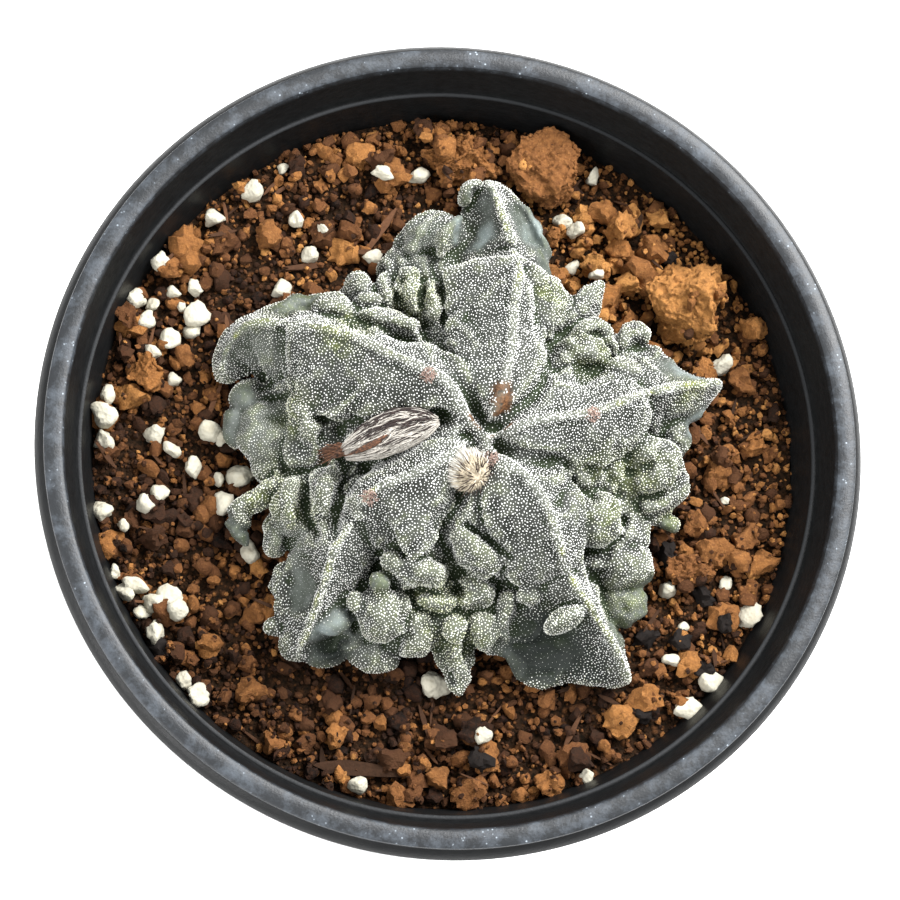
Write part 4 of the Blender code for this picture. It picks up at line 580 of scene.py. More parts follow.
def smooth_rows(rows, count):
    """Rows along a smooth curve through the given ones, evenly spread by row."""
    rows = np.array(rows, float)
    padded = np.vstack([2 * rows[0] - rows[1], rows, 2 * rows[-1] - rows[-2]])
    places = np.linspace(0.0, len(rows) - 1.0, count)
    first = np.minimum(places.astype(int), len(rows) - 2)
    step = (places - first)[:, None]
    before, start, end, after = (padded[first + shift] for shift in range(4))
    cubic = 3 * (start - end) + after - before
    square = 2 * before - 5 * start + 4 * end - after
    return start + 0.5 * step * (end - before + step * (square + step * cubic))


def random_turns(count, draw):
    """Turning matrices spread evenly over all directions."""
    quaternion = draw.normal(size=(count, 4))
    w, x, y, z = (quaternion / np.linalg.norm(quaternion, axis=1, keepdims=True)).T
    return np.stack([
        1 - 2 * (y * y + z * z), 2 * (x * y - z * w), 2 * (x * z + y * w),
        2 * (x * y + z * w), 1 - 2 * (x * x + z * z), 2 * (y * z - x * w),
        2 * (x * z - y * w), 2 * (y * z + x * w), 1 - 2 * (x * x + y * y),
    ], axis=1).reshape(count, 3, 3)


def copies(name, patterns, picks, places, turns, sizes, **values):
    """One mesh with a copy of a modelled pattern at each place, turned and sized."""
    all_points = []
    all_faces = []
    all_values = {key: [] for key in values}
    offset = 0
    for number, (points, faces) in enumerate(patterns):
        chosen = np.flatnonzero(picks == number)
        if not len(chosen):
            continue
        sized = points[None] * sizes[chosen][:, None]
        placed = np.einsum("nij,nkj->nki", turns[chosen], sized) + places[chosen][:, None]
        shift = offset + len(points) * np.arange(len(chosen))
        all_points.append(placed.reshape(-1, 3))
        all_faces.append((faces[None] + shift[:, None, None]).reshape(-1, 3))
        for key in values:
            all_values[key].append(np.repeat(values[key][chosen], len(points)))
        offset += len(points) * len(chosen)
    piece = mesh_piece(name, np.concatenate(all_points), np.concatenate(all_faces))
    for key in values:
        set_value(piece, key, np.concatenate(all_values[key]))
    return piece


def as_pattern(piece):
    """The points and triangles of a modelled piece, which is then removed."""
    pattern = (points_of(piece), triangles_of(piece))
    bpy.data.objects.remove(piece, do_unlink=True)
    return pattern


# Materials


def new_material(name, roughness, shine=0.5):
    material = bpy.data.materials.new(name)
    material.use_nodes = True
    shader = material.node_tree.nodes["Principled BSDF"]
    shader.inputs["Roughness"].default_value = roughness
    shader.inputs["Specular IOR Level"].default_value = shine
    return material


def node(material, kind, inputs, output=0, **settings):
    """A node with its settings and inputs, by its wanted output socket."""
    made = material.node_tree.nodes.new("ShaderNode" + kind)
    for key, value in settings.items():
        setattr(made, key, value)
    for key, value in inputs.items():
        if isinstance(value, bpy.types.NodeSocket):
            material.node_tree.links.new(value, made.inputs[key])
        else:
            made.inputs[key].default_value = value
    return made.outputs[output]


def place_on(material):
    return node(material, "TexCoord", {}, output="Object")


def clouds(material, place, size, detail=4.0, roughness=0.55):
    """Noise whose clouds are about this many millimetres across, from 0 to 1."""
    inputs = {"Vector": place, "Scale": 1.0 / (size * MM), "Detail": detail, "Roughness": roughness}
    return node(material, "TexNoise", inputs)


def cells(material, place, size, output=0):
    return node(material, "TexVoronoi", {"Vector": place, "Scale": 1.0 / (size * MM)}, output=output)


def value(material, name):
    return node(material, "Attribute", {}, output="Fac", attribute_name=name)


def between(material, amount, low, high, start=0.0, end=1.0):
    inputs = {"Value": amount, "From Min": low, "From Max": high, "To Min": start, "To Max": end}
    return node(material, "MapRange", inputs)


def calculate(material, operation, first, second=0.0):
    return node(material, "Math", {0: first, 1: second}, operation=operation)


def times(material, first, second):
    return calculate(material, "MULTIPLY", first, second)


def mix(material, amount, first, second):
    """Two colours mixed by an amount."""
    colours = [(*c, 1.0) if isinstance(c, tuple) else c for c in (first, second)]
    inputs = {0: amount, 6: colours[0], 7: colours[1]}
    return node(material, "Mix", inputs, output=2, data_type="RGBA")


def paint(material, colour, bump=None, bump_height=0.1, roughness=None):
    """Join the finished colour, relief and roughness to the shader."""
    shader = material.node_tree.nodes["Principled BSDF"]
    links = material.node_tree.links
    links.new(colour, shader.inputs["Base Color"])
    if bump is not None:
        inputs = {"Height": bump, "Distance": bump_height * MM, "Strength": 1.0}
        links.new(node(material, "Bump", inputs), shader.inputs["Normal"])
    if roughness is not None:
        links.new(roughness, shader.inputs["Roughness"])
    return material


def skin_material():
    """Grey-green skin: yellow-green crests, smooth blue-grey patches, painted shade in creases, valleys and
    cups, corky scars.
    """
    skin = new_material("speckled_skin", 0.6, 0.22)
    place = place_on(skin)
    drift = clouds(skin, place, 7.0, detail=3.0)
    colour = mix(skin, between(skin, drift, 0.35, 0.65), (0.016, 0.018, 0.014), (0.044, 0.047, 0.041))
    raised = between(skin, value(skin, "raised"), 0.0, 0.7)
    colour = mix(skin, raised, colour, (0.098, 0.104, 0.086))
    colour = mix(skin, times(skin, value(skin, "fine"), 0.8), colour, (0.112, 0.122, 0.104))
    mottle = clouds(skin, place, 1.6, detail=4.0)
    green = times(skin, value(skin, "green"), between(skin, mottle, 0.38, 0.68, 0.0, 0.75))
    colour = mix(skin, green, colour, (0.092, 0.112, 0.028))
    crest = times(skin, value(skin, "crest"), between(skin, mottle, 0.42, 0.62))
    colour = mix(skin, crest, colour, (0.17, 0.185, 0.045))
    bloom = clouds(skin, place, 2.4, detail=5.0)
    waxy = mix(skin, between(skin, bloom, 0.35, 0.7), (0.066, 0.076, 0.064), (0.140, 0.154, 0.142))
    waxy = mix(skin, times(skin, green, 0.7), waxy, (0.112, 0.138, 0.032))
    pale = times(skin, value(skin, "bloom"), between(skin, bloom, 0.3, 0.55))
    waxy = mix(skin, pale, waxy, (0.23, 0.27, 0.265))
    smooth = between(skin, value(skin, "smooth"), 0.25, 0.75)
    colour = mix(skin, smooth, colour, waxy)
    # Painted shade: the skin is darkened in the deep cups marked on it.
    colour = mix(skin, value(skin, "dark"), colour, (0.015, 0.019, 0.016))
    # Painted shade: the skin is darkened in the creases, less so on the smooth patches.
    crease_shade = between(skin, value(skin, "raised"), -0.15, -0.7)
    crease_shade = times(skin, crease_shade, between(skin, smooth, 0.0, 1.0, 1.0, 0.25))
    colour = mix(skin, crease_shade, colour, (0.012, 0.020, 0.007))
    # Painted shade: broad valleys of the skin are darkened as if in shadow.
    deep = between(skin, value(skin, "broad"), -0.2, -1.0, 0.0, 0.5)
    colour = mix(skin, deep, colour, (0.019, 0.030, 0.010))
    cork = times(skin, value(skin, "cork"), between(skin, mottle, 0.25, 0.45))
    crust = clouds(skin, place, 0.7, detail=6.0, roughness=0.75)
    bark = mix(skin, between(skin, crust, 0.36, 0.62), (0.030, 0.011, 0.005), (0.30, 0.135, 0.052))
    colour = mix(skin, cork, colour, bark)
    grain = calculate(skin, "ADD", clouds(skin, place, 0.5), times(skin, times(skin, cork, crust), 5.0))
    return paint(skin, colour, grain, 0.12, between(skin, smooth, 0.0, 1.0, 0.7, 0.58))


def fleck_material():
    wool = new_material("fleck_wool", 0.9)
    place = place_on(wool)
    shade = clouds(wool, place, 0.25, detail=2.0)
    colour = mix(wool, between(wool, shade, 0.3, 0.7), (0.74, 0.75, 0.70), (0.92, 0.92, 0.90))
    colour = mix(wool, times(wool, value(wool, "tinge"), 0.7), colour, (0.74, 0.77, 0.40))
    return paint(wool, colour, shade, 0.04)


def clay_material():
    """Baked clay: each crumb has its own tint, from black peat to bright orange."""
    clay = new_material("baked_clay", 0.95, 0.15)
    place = place_on(clay)
    tint = value(clay, "tint")
    ramp = clay.node_tree.nodes.new("ShaderNodeValToRGB")
    clay.node_tree.links.new(tint, ramp.inputs["Fac"])
    stops = [(0.0, (0.006, 0.004, 0.003)), (0.3, (0.028, 0.014, 0.008)), (0.55, (0.14, 0.057, 0.021)),
             (0.8, (0.29, 0.122, 0.036)), (1.0, (0.46, 0.215, 0.064))]
    marks = ramp.color_ramp.elements
    while len(marks) < len(stops):
        marks.new(0.5)
    for mark, (position, colour) in zip(marks, stops):
        mark.position = position
        mark.color = (*colour, 1.0)
    stain = clouds(clay, place, 0.9, detail=6.0, roughness=0.7)
    stained = between(clay, stain, 0.42, 0.75, 0.0, 0.75)
    colour = mix(clay, stained, ramp.outputs["Color"], (0.06, 0.022, 0.01))
    dusty = clouds(clay, place, 0.35, detail=5.0, roughness=0.65)
    bright = between(clay, tint, 0.35, 0.8, 0.0, 0.6)
    lit = times(clay, between(clay, dusty, 0.55, 0.75), bright)
    colour = mix(clay, lit, colour, (0.56, 0.28, 0.095))
    return paint(clay, colour, calculate(clay, "ADD", dusty, stain), 0.4)


def bed_material():
    """Fine peat and clay dust: small crumbs, each with its own tint, with dark gaps between them."""
    peat = new_material("peat_bed", 0.97, 0.1)
    place = place_on(peat)
    crumbs = clouds(peat, place, 0.8, detail=6.0, roughness=0.7)
    colour = mix(peat, between(peat, crumbs, 0.4, 0.7), (0.006, 0.004, 0.002), (0.040, 0.018, 0.008))
    drift = clouds(peat, place, 11.0, detail=3.0)
    relief = crumbs
    for size, share in ((1.5, 0.55), (0.8, 0.8)):
        tint = node(peat, "SeparateColor", {"Color": cells(peat, place, size, output=1)})
        drifted = between(peat, drift, 0.3, 0.6, 0.35)
        chosen = times(peat, between(peat, tint, 0.35, 0.8), drifted)
        edge = between(peat, cells(peat, place, size), 0.45, 0.2)
        grain = mix(peat, tint, (0.045, 0.019, 0.008), (0.21, 0.085, 0.030))
        laid = times(peat, times(peat, chosen, edge), share)
        colour = mix(peat, laid, colour, grain)
        relief = calculate(peat, "ADD", relief, edge)
    return paint(peat, colour, relief, 0.5)


def perlite_material():
    perlite = new_material("perlite", 0.85, 0.2)
    place = place_on(perlite)
    pores = cells(perlite, place, 0.55)
    stain = clouds(perlite, place, 1.8, detail=5.0)
    stained = between(perlite, stain, 0.5, 0.8, 0.0, 0.6)
    colour = mix(perlite, stained, (0.46, 0.435, 0.35), (0.32, 0.27, 0.18))
    pitted = times(perlite, between(perlite, pores, 0.12, 0.02), 0.35)
    colour = mix(perlite, pitted, colour, (0.34, 0.27, 0.2))
    return paint(perlite, colour, pores, 0.12)


def bark_material():
    bark = new_material("bark", 0.9, 0.15)
    place = place_on(bark)
    grain = clouds(bark, place, 0.7, detail=6.0, roughness=0.7)
    dark = mix(bark, grain, (0.008, 0.005, 0.003), (0.045, 0.021, 0.011))
    warm = mix(bark, grain, (0.05, 0.021, 0.010), (0.17, 0.078, 0.038))
    return paint(bark, mix(bark, value(bark, "tint"), dark, warm), grain, 0.2)


def charcoal_material():
    charcoal = new_material("charcoal", 0.85, 0.15)
    place = place_on(charcoal)
    grain = clouds(charcoal, place, 0.6, detail=5.0)
    colour = mix(charcoal, grain, (0.004, 0.004, 0.004), (0.016, 0.011, 0.009))
    return paint(charcoal, colour, grain, 0.2)


def pot_material():
    """Black plastic: scuffed and dusty on top of the rim, a painted highlight along the inner ledge, nearly
    plain elsewhere.
    """
    plastic = new_material("scuffed_plastic", 0.45, 0.3)
    place = place_on(plastic)
    apart = plastic.node_tree.nodes.new("ShaderNodeSeparateXYZ")
    plastic.node_tree.links.new(place, apart.inputs[0])
    x, y, z = apart.outputs
    angle = calculate(plastic, "ARCTAN2", y, x)
    square = calculate(plastic, "ADD", times(plastic, x, x), times(plastic, y, y))
    radius = calculate(plastic, "SQRT", square)
    around = node(plastic, "CombineXYZ", {0: times(plastic, angle, 0.02), 1: radius, 2: z})
    top = between(plastic, z, (POT_HEIGHT - 1.3) * MM, (POT_HEIGHT - 0.5) * MM)
    rubbed = clouds(plastic, place, 3.2, detail=7.0, roughness=0.75)
    streaks = clouds(plastic, around, 0.55, detail=4.0, roughness=0.7)
    scuff = times(plastic, top, between(plastic, rubbed, 0.46, 0.72))
    flakes = times(plastic, top, between(plastic, cells(plastic, place, 0.9), 0.2, 0.08))
    flakes = times(plastic, flakes, between(plastic, rubbed, 0.52, 0.6))
    streaked = between(plastic, streaks, 0.3, 0.8)
    colour = mix(plastic, streaked, (0.0045, 0.0048, 0.0050), (0.011, 0.0115, 0.012))
    colour = mix(plastic, times(plastic, top, 0.5), colour, (0.030, 0.033, 0.037))
    colour = mix(plastic, times(plastic, scuff, 0.5), colour, (0.12, 0.14, 0.165))
    colour = mix(plastic, flakes, colour, (0.30, 0.34, 0.38))
    # Painted highlight: a thin lighter ring along the bead of the inner ledge.
    ledge_middle = (LEDGE_RADIUS - 0.5) * MM
    off_ledge = calculate(plastic, "ABSOLUTE", calculate(plastic, "SUBTRACT", radius, ledge_middle))
    ledge_level = POT_HEIGHT - LEDGE_DROP
    at_ledge = between(plastic, z, (ledge_level - 1.0) * MM, ledge_level * MM)
    ledge = times(plastic, between(plastic, off_ledge, 0.3 * MM, 0.1 * MM), at_ledge)
    colour = mix(plastic, times(plastic, ledge, 0.5), colour, (0.040, 0.042, 0.045))
    inside = between(plastic, radius, (RIM_INNER_RADIUS + 0.4) * MM, RIM_INNER_RADIUS * MM)
    shader = plastic.node_tree.nodes["Principled BSDF"]
    shine = between(plastic, inside, 0.0, 1.0, 0.3, 0.09)
    plastic.node_tree.links.new(shine, shader.inputs["Specular IOR Level"])
    speck = clouds(plastic, place, 0.35, detail=3.0)
    rough = between(plastic, rubbed, 0.3, 0.7, 0.32, 0.5)
    return paint(plastic, colour, calculate(plastic, "ADD", speck, streaks), 0.035, rough)


def fibre_material(name, dark, light, roughness=0.85):
    fibre = new_material(name, roughness)
    place = place_on(fibre)
    grain = clouds(fibre, place, 0.4, detail=4.0)
    return paint(fibre, mix(fibre, between(fibre, grain, 0.3, 0.7), dark, light), grain, 0.05)


def floor_material():
    card = new_material("white_card", 0.9)
    shader = card.node_tree.nodes["Principled BSDF"]
    shader.inputs["Emission Color"].default_value = (1.0, 1.0, 1.0, 1.0)
    shader.inputs["Emission Strength"].default_value = 0.22
    place = place_on(card)
    fibre = clouds(card, place, 2.0, detail=3.0)
    return paint(card, mix(card, fibre, (0.86, 0.86, 0.855), (0.88, 0.88, 0.875)), fibre, 0.01)


# The plant


def drawn_out(rows, underside, sharpness, bluntness, sides, rings):
    """A rib or fold: a sphere whose rings are drawn out into sections along the rows."""
    piece = fresh(bpy.ops.mesh.primitive_uv_sphere_add, segments=sides, ring_count=rings, radius=1.0)
    side, up, run = (points_of(piece) * MM).T
    curve = smooth_rows(rows, 400)
    along = np.gradient(curve[:, :2], axis=0)
    along /= np.linalg.norm(along, axis=1, keepdims=True)
    ring = np.maximum(np.hypot(side, up), 1e-6)
    at = np.rint(0.5 * (1.0 + np.clip(run, -1.0, 1.0)) * (len(curve) - 1)).astype(int)
    fullness = (1.0 - np.clip(np.abs(run), 0.0, 1.0) ** bluntness) ** (1.0 / bluntness)
    across = np.clip(side / ring, -1.0, 1.0)
    lift = up / ring
    x, y, crest, left, right, drop = curve[at].T
    edge = crest - drop
    reach = np.where(across > 0, left, right) * across * fullness
    over = edge + drop * (1.0 - np.abs(across) ** sharpness) * fullness
    under = edge - (edge - underside) * np.abs(lift) ** 0.6 * fullness
    height = np.where(lift >= 0, over, under)
    ahead = along[at]
    places = [x - ahead[:, 1] * reach, y + ahead[:, 0] * reach, SOIL_LEVEL + height]
    set_points(piece, np.stack(places, axis=1))
    return piece


def lump(x, y, height, half_x, half_y, half_z, turn):
    piece = fresh(bpy.ops.mesh.primitive_ico_sphere_add, subdivisions=5, radius=1.0)
    points = points_of(piece) * MM * (half_x, half_y, half_z)
    angle = math.radians(turn)
    cos, sin = math.cos(angle), math.sin(angle)
    flat = points[:, :2] @ np.array([(cos, sin), (-sin, cos)])
    height_over_soil = np.maximum(points[:, 2] + height, UNDERSIDE)
    set_points(piece, np.column_stack([flat + (x, y), SOIL_LEVEL + height_over_soil]))
    return piece


def root_neck():
    top = 8.0
    middle = (PLANT_MIDDLE[0] * MM, PLANT_MIDDLE[1] * MM, (SOIL_LEVEL + 0.5 * (top - NECK_DEPTH)) * MM)
    neck = fresh(bpy.ops.mesh.primitive_cylinder_add, vertices=64, radius=NECK_RADIUS * MM,
                 depth=(NECK_DEPTH + top) * MM, location=middle)
    bpy.ops.object.transform_apply(location=True, rotation=False, scale=False)
    return neck


def neighbour_mean(values, edges, rounds):
    """Each point's values evened out with its neighbours', this many times over."""
    count = len(values)
    ends = np.concatenate([edges, edges[:, ::-1]])
    share = np.bincount(ends[:, 0], minlength=count)[:, None]
    for _ in range(rounds):
        summed = [np.bincount(ends[:, 0], values[ends[:, 1], k], minlength=count) for k in range(3)]
        values = 0.5 * values + 0.5 * np.stack(summed, axis=1) / share
    return values


def raised_amount(piece, rounds=26):
    """How far each point stands out of the skin round it: positive on ridges, negative in creases."""
    flat = np.empty(len(piece.data.edges) * 2, np.int32)
    piece.data.edges.foreach_get("vertices", flat)
    points = points_of(piece)
    evened = neighbour_mean(points, flat.reshape(-1, 2), rounds)
    return ((points - evened) * normals_of(piece)).sum(axis=1)


def spread_round(points, spots):
    """From 0 to 1, how near each point is to any of the spots of x, y, height and reach."""
    near = np.zeros(len(points))
    for x, y, height, reach in spots:
        distance = np.linalg.norm(points - (x, y, SOIL_LEVEL + height), axis=1)
        near = np.maximum(near, np.clip(1.6 - distance / reach, 0.0, 1.0))
    return near


def crest_distance(points):
    """How far each point is from the nearest crest line of a rib."""
    near = np.full(len(points), 99.0)
    for rows in RIBS.values():
        for spot in smooth_rows(rows, 60)[:, :3] + (0.0, 0.0, SOIL_LEVEL):
            near = np.minimum(near, np.linalg.norm(points - spot, axis=1))
    return near


def grow_skin():
    pieces = [drawn_out(rows, UNDERSIDE, *RIB_FORM) for rows in RIBS.values()]
    folds = {name: drawn_out(rows, underside, *FOLD_FORM) for name, (underside, rows) in FOLDS.items()}
    free = [folds.pop(name) for name in FREE_FOLDS]
    pieces += list(folds.values()) + [lump(*row) for row in LUMPS]
    pieces.append(root_neck())
    skin = join(pieces, "cactus_skin")
    grow_together(skin, 1.25 * SKIN_VOXEL, 2)
    crumple(skin)
    press(skin, CREASES, sharp)
    press(skin, HOLLOWS, rounded)
    skin = join([skin] + free, "cactus_skin")
    grow_together(skin, SKIN_VOXEL, 2)
    keep_outer_skin(skin)
    points = points_of(skin)
    crisp = np.clip(CRISPNESS[0] * raised_amount(skin), -CRISPNESS[1], CRISPNESS[1])
    set_points(skin, points + crisp[:, None] * normals_of(skin))
    roughen(skin, 1.2, 0.12)
    return apply_modifiers(smooth_shade(skin))


def grow_together(piece, voxel, rounds):
    """Melt overlapping solids into one even skin."""
    remesh = piece.modifiers.new("Grown together", "REMESH")
    remesh.mode = "VOXEL"
    remesh.voxel_size = voxel * MM
    remesh.use_smooth_shade = True
    soften = piece.modifiers.new("Soften", "SMOOTH")
    soften.factor = 0.5
    soften.iterations = rounds
    apply_modifiers(piece)


def keep_outer_skin(skin):
    """Drop the closed hollows left inside, and thin the mesh where it is flat."""
    bpy.ops.object.select_all(action="DESELECT")
    skin.select_set(True)
    bpy.context.view_layer.objects.active = skin
    bpy.ops.object.mode_set(mode="EDIT")
    bpy.ops.mesh.separate(type="LOOSE")
    bpy.ops.object.mode_set(mode="OBJECT")
    shells = sorted(bpy.context.selected_objects, key=lambda shell: len(shell.data.vertices))
    largest = shells.pop()
    skin.data, largest.data = largest.data, skin.data
    for shell in shells + [largest]:
        if shell is not skin:
            bpy.data.objects.remove(shell, do_unlink=True)
    thin = skin.modifiers.new("Thin", "DECIMATE")
    thin.ratio = min(1.0, SKIN_TRIANGLES / (2 * len(skin.data.polygons)))
    apply_modifiers(skin)


def sight_line():
    """The way from the plant to the camera."""
    toward = Vector((-math.sin(math.radians(TILT_SIDEWAYS)), -math.sin(math.radians(TILT_FORWARD)), 0.0))
    toward.z = math.sqrt(1.0 - toward.x**2 - toward.y**2)
    return toward


def sharp(inside):
    return inside**1.4


def rounded(inside):
    return inside * inside * (3.0 - 2.0 * inside)


def press(skin, lines, profile):
    """Press creases or hollows into the skin, along the line of sight; depth along it counts a quarter."""
    toward = np.array(sight_line())
    points = points_of(skin)
    push = ALONG_SIGHT * toward + (1.0 - ALONG_SIGHT) * normals_of(skin)
    seen = points - ALONG_SIGHT * (points @ toward)[:, None] * toward
    for width, depth, places in lines.values():
        path = smooth_rows(places, 12 * len(places)) + (0.0, 0.0, SOIL_LEVEL)
        path = path - ALONG_SIGHT * (path @ toward)[:, None] * toward
        within = (seen > path.min(axis=0) - width) & (seen < path.max(axis=0) + width)
        close = np.flatnonzero(within.all(axis=1))
        near = np.full(len(close), width)
        for spot in path:
            near = np.minimum(near, np.linalg.norm(seen[close] - spot, axis=1))
        points[close] -= (depth * profile(1.0 - near / width))[:, None] * push[close]
    set_points(skin, points)


def crumple(skin):
    """Push the skin into shallow bowls with thin rims, strong on the flanks and faint by the crests."""
    points = points_of(skin)
    from_crest = crest_distance(points)
    calm = np.clip(1.5 - from_crest / CALM_REACH, 0.0, 1.0)
    above = np.clip((points[:, 2] - SOIL_LEVEL - UNDERSIDE) / 2.0, 0.0, 1.0)
    depth = (FOLD_DEPTH[1] + (FOLD_DEPTH[0] - FOLD_DEPTH[1]) * calm) * above
    folds = np.empty(len(points))
    for k, (x, y, z) in enumerate(points):
        warp = FOLD_WARP[0] * noise.noise_vector(Vector((x, y, z)) / FOLD_WARP[1])
        broad = Vector((x, y, FOLD_FLATNESS * z)) / FOLD_SIZE + warp
        folds[k] = abs(noise.noise(broad)) + FOLD_RIPPLE[0] * abs(noise.noise(FOLD_RIPPLE[1] * broad))
    seam = SEAM * np.clip(1.6 - from_crest / SEAM_REACH, 0.0, 1.0)
    moved = depth * (RIM_AND_BOWL[0] - RIM_AND_BOWL[1] * folds) + seam
    set_points(skin, points + moved[:, None] * normals_of(skin))


def mark_skin(skin):
    """Numbers on the skin that its material and the flecks read."""
    points = points_of(skin)
    warp = np.array([noise.noise_vector(Vector(p) * 0.4) for p in points]) * 1.4
    marks = {
        "raised": np.clip(MARK_GAIN[0] * raised_amount(skin), -1.0, 1.0),
        "broad": np.clip(MARK_GAIN[1] * raised_amount(skin, BROAD_ROUNDS), -1.0, 1.0),
        "smooth": spread_round(points + warp, SMOOTH_PATCHES),
        "green": spread_round(points + warp, GREEN_PATCHES),
        "fine": spread_round(points + warp, FINE_PATCHES),
        # painted shade in the deep cups
        "dark": spread_round(points + 0.5 * warp, PAINTED_SHADE_PATCHES),
        "cork": spread_round(points + 0.5 * warp, CORK_SPOTS),
        "bloom": spread_round(points + warp, BLOOM_PATCHES),
    }
    from_crest = crest_distance(points + 0.35 * warp)
    from_middle = np.hypot(points[:, 0] - PLANT_MIDDLE[0], points[:, 1] - PLANT_MIDDLE[1])
    outer = np.clip((from_middle - 9.0) / 9.0, 0.0, 1.0)
    marks["crest"] = np.clip(1.6 - from_crest / 0.3, 0.0, 1.0) * outer
    marks["shoulder"] = np.clip(1.3 - from_crest / 2.8, 0.0, 1.0) * (1.0 - 0.5 * outer**3)
    hem = np.clip(1.6 * marks["raised"] - 0.3, 0.0, 0.5) * (1.0 - marks["shoulder"])
    marks["green"] = np.maximum(marks["green"], hem)
    for name, values in marks.items():
        set_value(skin, name, values)
    return marks


def even_places(points, faces, spacing, draw, tries=6.0):
    """Places spread over the mesh, none nearer to another than the spacing at it."""
    corner, second, third = points[faces[:, 0]], points[faces[:, 1]], points[faces[:, 2]]
    area = 0.5 * np.linalg.norm(np.cross(second - corner, third - corner), axis=1)
    closest = spacing[faces].mean(axis=1)
    weight = area / closest**2
    count = int(tries * weight.sum())
    picked = draw.choice(len(faces), count, p=weight / weight.sum())
    u, v = draw.random((2, count))
    over = u + v > 1.0
    u[over] = 1.0 - u[over]
    v[over] = 1.0 - v[over]
    spots = corner[picked] + u[:, None] * (second - corner)[picked] + v[:, None] * (third - corner)[picked]
    tree = KDTree(count)
    for number, spot in enumerate(spots.tolist()):
        tree.insert(spot, number)
    tree.balance()
    free = bytearray(b"\x01") * count
    kept = []
    for number, (spot, apart) in enumerate(zip(spots.tolist(), closest[picked].tolist())):
        if free[number]:
            kept.append(number)
            for _, near, _ in tree.find_range(spot, apart):
                free[near] = 0
    kept = np.array(kept)
    return spots[kept], faces[picked[kept]]


def sprinkle_flecks(skin, marks):
    """Tiny tufts of white wool over the skin, dense on ridges and sparse on the smooth patches."""
    draw = np.random.default_rng(11)
    points = points_of(skin)
    faces = triangles_of(skin)
    normals = normals_of(skin)
    ridge = np.clip(0.5 * marks["raised"] + 0.2 * marks["broad"] + 0.8 * marks["shoulder"], 0.0, 1.0)
    deep = np.clip(-1.1 * marks["raised"] - 0.5 * marks["broad"] - 0.3, 0.0, 1.0)
    smooth = np.clip(2.0 * marks["smooth"] - 0.4, 0.0, 1.0)
    spacing = FLECK_SPACING[0] + (FLECK_SPACING[1] - FLECK_SPACING[0]) * ridge
    spacing = spacing + (FLECK_SPACING[2] - spacing) * np.maximum(smooth, 0.7 * deep)
    spacing = spacing + (FINE_SPACING - spacing) * marks["fine"] * (1.0 - smooth)
    seen = (normals[:, 2] > -0.35) & (points[:, 2] > SOIL_LEVEL + 0.9) & (marks["cork"] < 0.5)
    faces = faces[seen[faces].all(axis=1)]
    spots, corners = even_places(points, faces, spacing, draw)
    up = normals[corners].mean(axis=1)
    up /= np.linalg.norm(up, axis=1, keepdims=True)
    radius = FLECK_RADIUS[0] + (FLECK_RADIUS[1] - FLECK_RADIUS[0]) * ridge[corners].mean(axis=1)
    radius = radius + (FINE_RADIUS - radius) * marks["fine"][corners].mean(axis=1)
    radius = radius + (FLECK_RADIUS[2] - radius) * np.maximum(smooth, 0.4 * deep)[corners].mean(axis=1)
    count = len(spots)
    radius *= draw.uniform(0.75, 1.3, count)
    side = np.cross(up, draw.normal(size=(count, 3)))
    side /= np.linalg.norm(side, axis=1, keepdims=True)
    turns = np.stack([side, np.cross(up, side), up], axis=2)
    stretch = draw.uniform(0.8, 1.9, count)
    sizes = np.stack([radius * stretch, radius, 0.55 * radius], axis=1)
    tuft = fresh(bpy.ops.mesh.primitive_cone_add, vertices=4, radius1=MM, radius2=0.0, depth=2.0 * MM)
    pattern = as_pattern(tuft)
    tinge = np.clip(marks["crest"] + marks["green"], 0.0, 1.0)[corners].mean(axis=1) * draw.random(count)
    wool = fleck_material()
    share = np.array_split(np.argsort(spots[:, 0]), FLECK_PIECES)
    for number, chosen in enumerate(share, start=1):
        flecks = copies(f"skin_flecks_{number}", [pattern], np.zeros(len(chosen), int), spots[chosen],
                        turns[chosen], sizes[chosen], tinge=tinge[chosen])
        wear(smooth_shade(flecks), wool, "cactus_skin")


def threads(name, strands, sides=4):
    """Closed tapering threads. Each strand is its points and its radius at each point."""
    points = []
    faces = []
    corner = np.arange(sides) * math.tau / sides
    cos, sin = np.cos(corner)[None, :, None], np.sin(corner)[None, :, None]
    for path, radii in strands:
        path = np.asarray(path, float)
        ahead = np.gradient(path, axis=0)
        ahead /= np.linalg.norm(ahead, axis=1, keepdims=True)
        across = np.cross(ahead, (0.13, 0.29, 0.95))
        across /= np.linalg.norm(across, axis=1, keepdims=True)
        over = np.cross(across, ahead)
        first = sum(len(block) for block in points)
        ring = cos * across[:, None] + sin * over[:, None]
        block = path[:, None] + ring * np.asarray(radii)[:, None, None]
        points.append(block.reshape(-1, 3))
        for step in range(len(path) - 1):
            for number in range(sides):
                here = first + step * sides + number
                beside = first + step * sides + (number + 1) % sides
                faces.append((here, beside, beside + sides))
                faces.append((here, beside + sides, here + sides))
        last = first + (len(path) - 1) * sides
        for number in range(1, sides - 1):
            faces.append((first, first + number + 1, first + number))
            faces.append((last, last + number, last + number + 1))
    return mesh_piece(name, np.concatenate(points), faces)


def lay_threads(name, strands, slot, *fibre, sides=4):
    """One piece of threads, in a fibre material of its own."""
    wear(smooth_shade(threads(name, strands, sides)), fibre_material(*fibre), slot)


def surface_below(tree, x, y):
    """Height above the soil of the skin under a place."""
    hit = tree.ray_cast(Vector((x, y, 200.0)) * MM, Vector((0.0, 0.0, -1.0)))[0]
    return hit.z / MM - SOIL_LEVEL if hit else 0.0


def tree_of(piece):
    return BVHTree.FromObject(piece, bpy.context.evaluated_depsgraph_get())


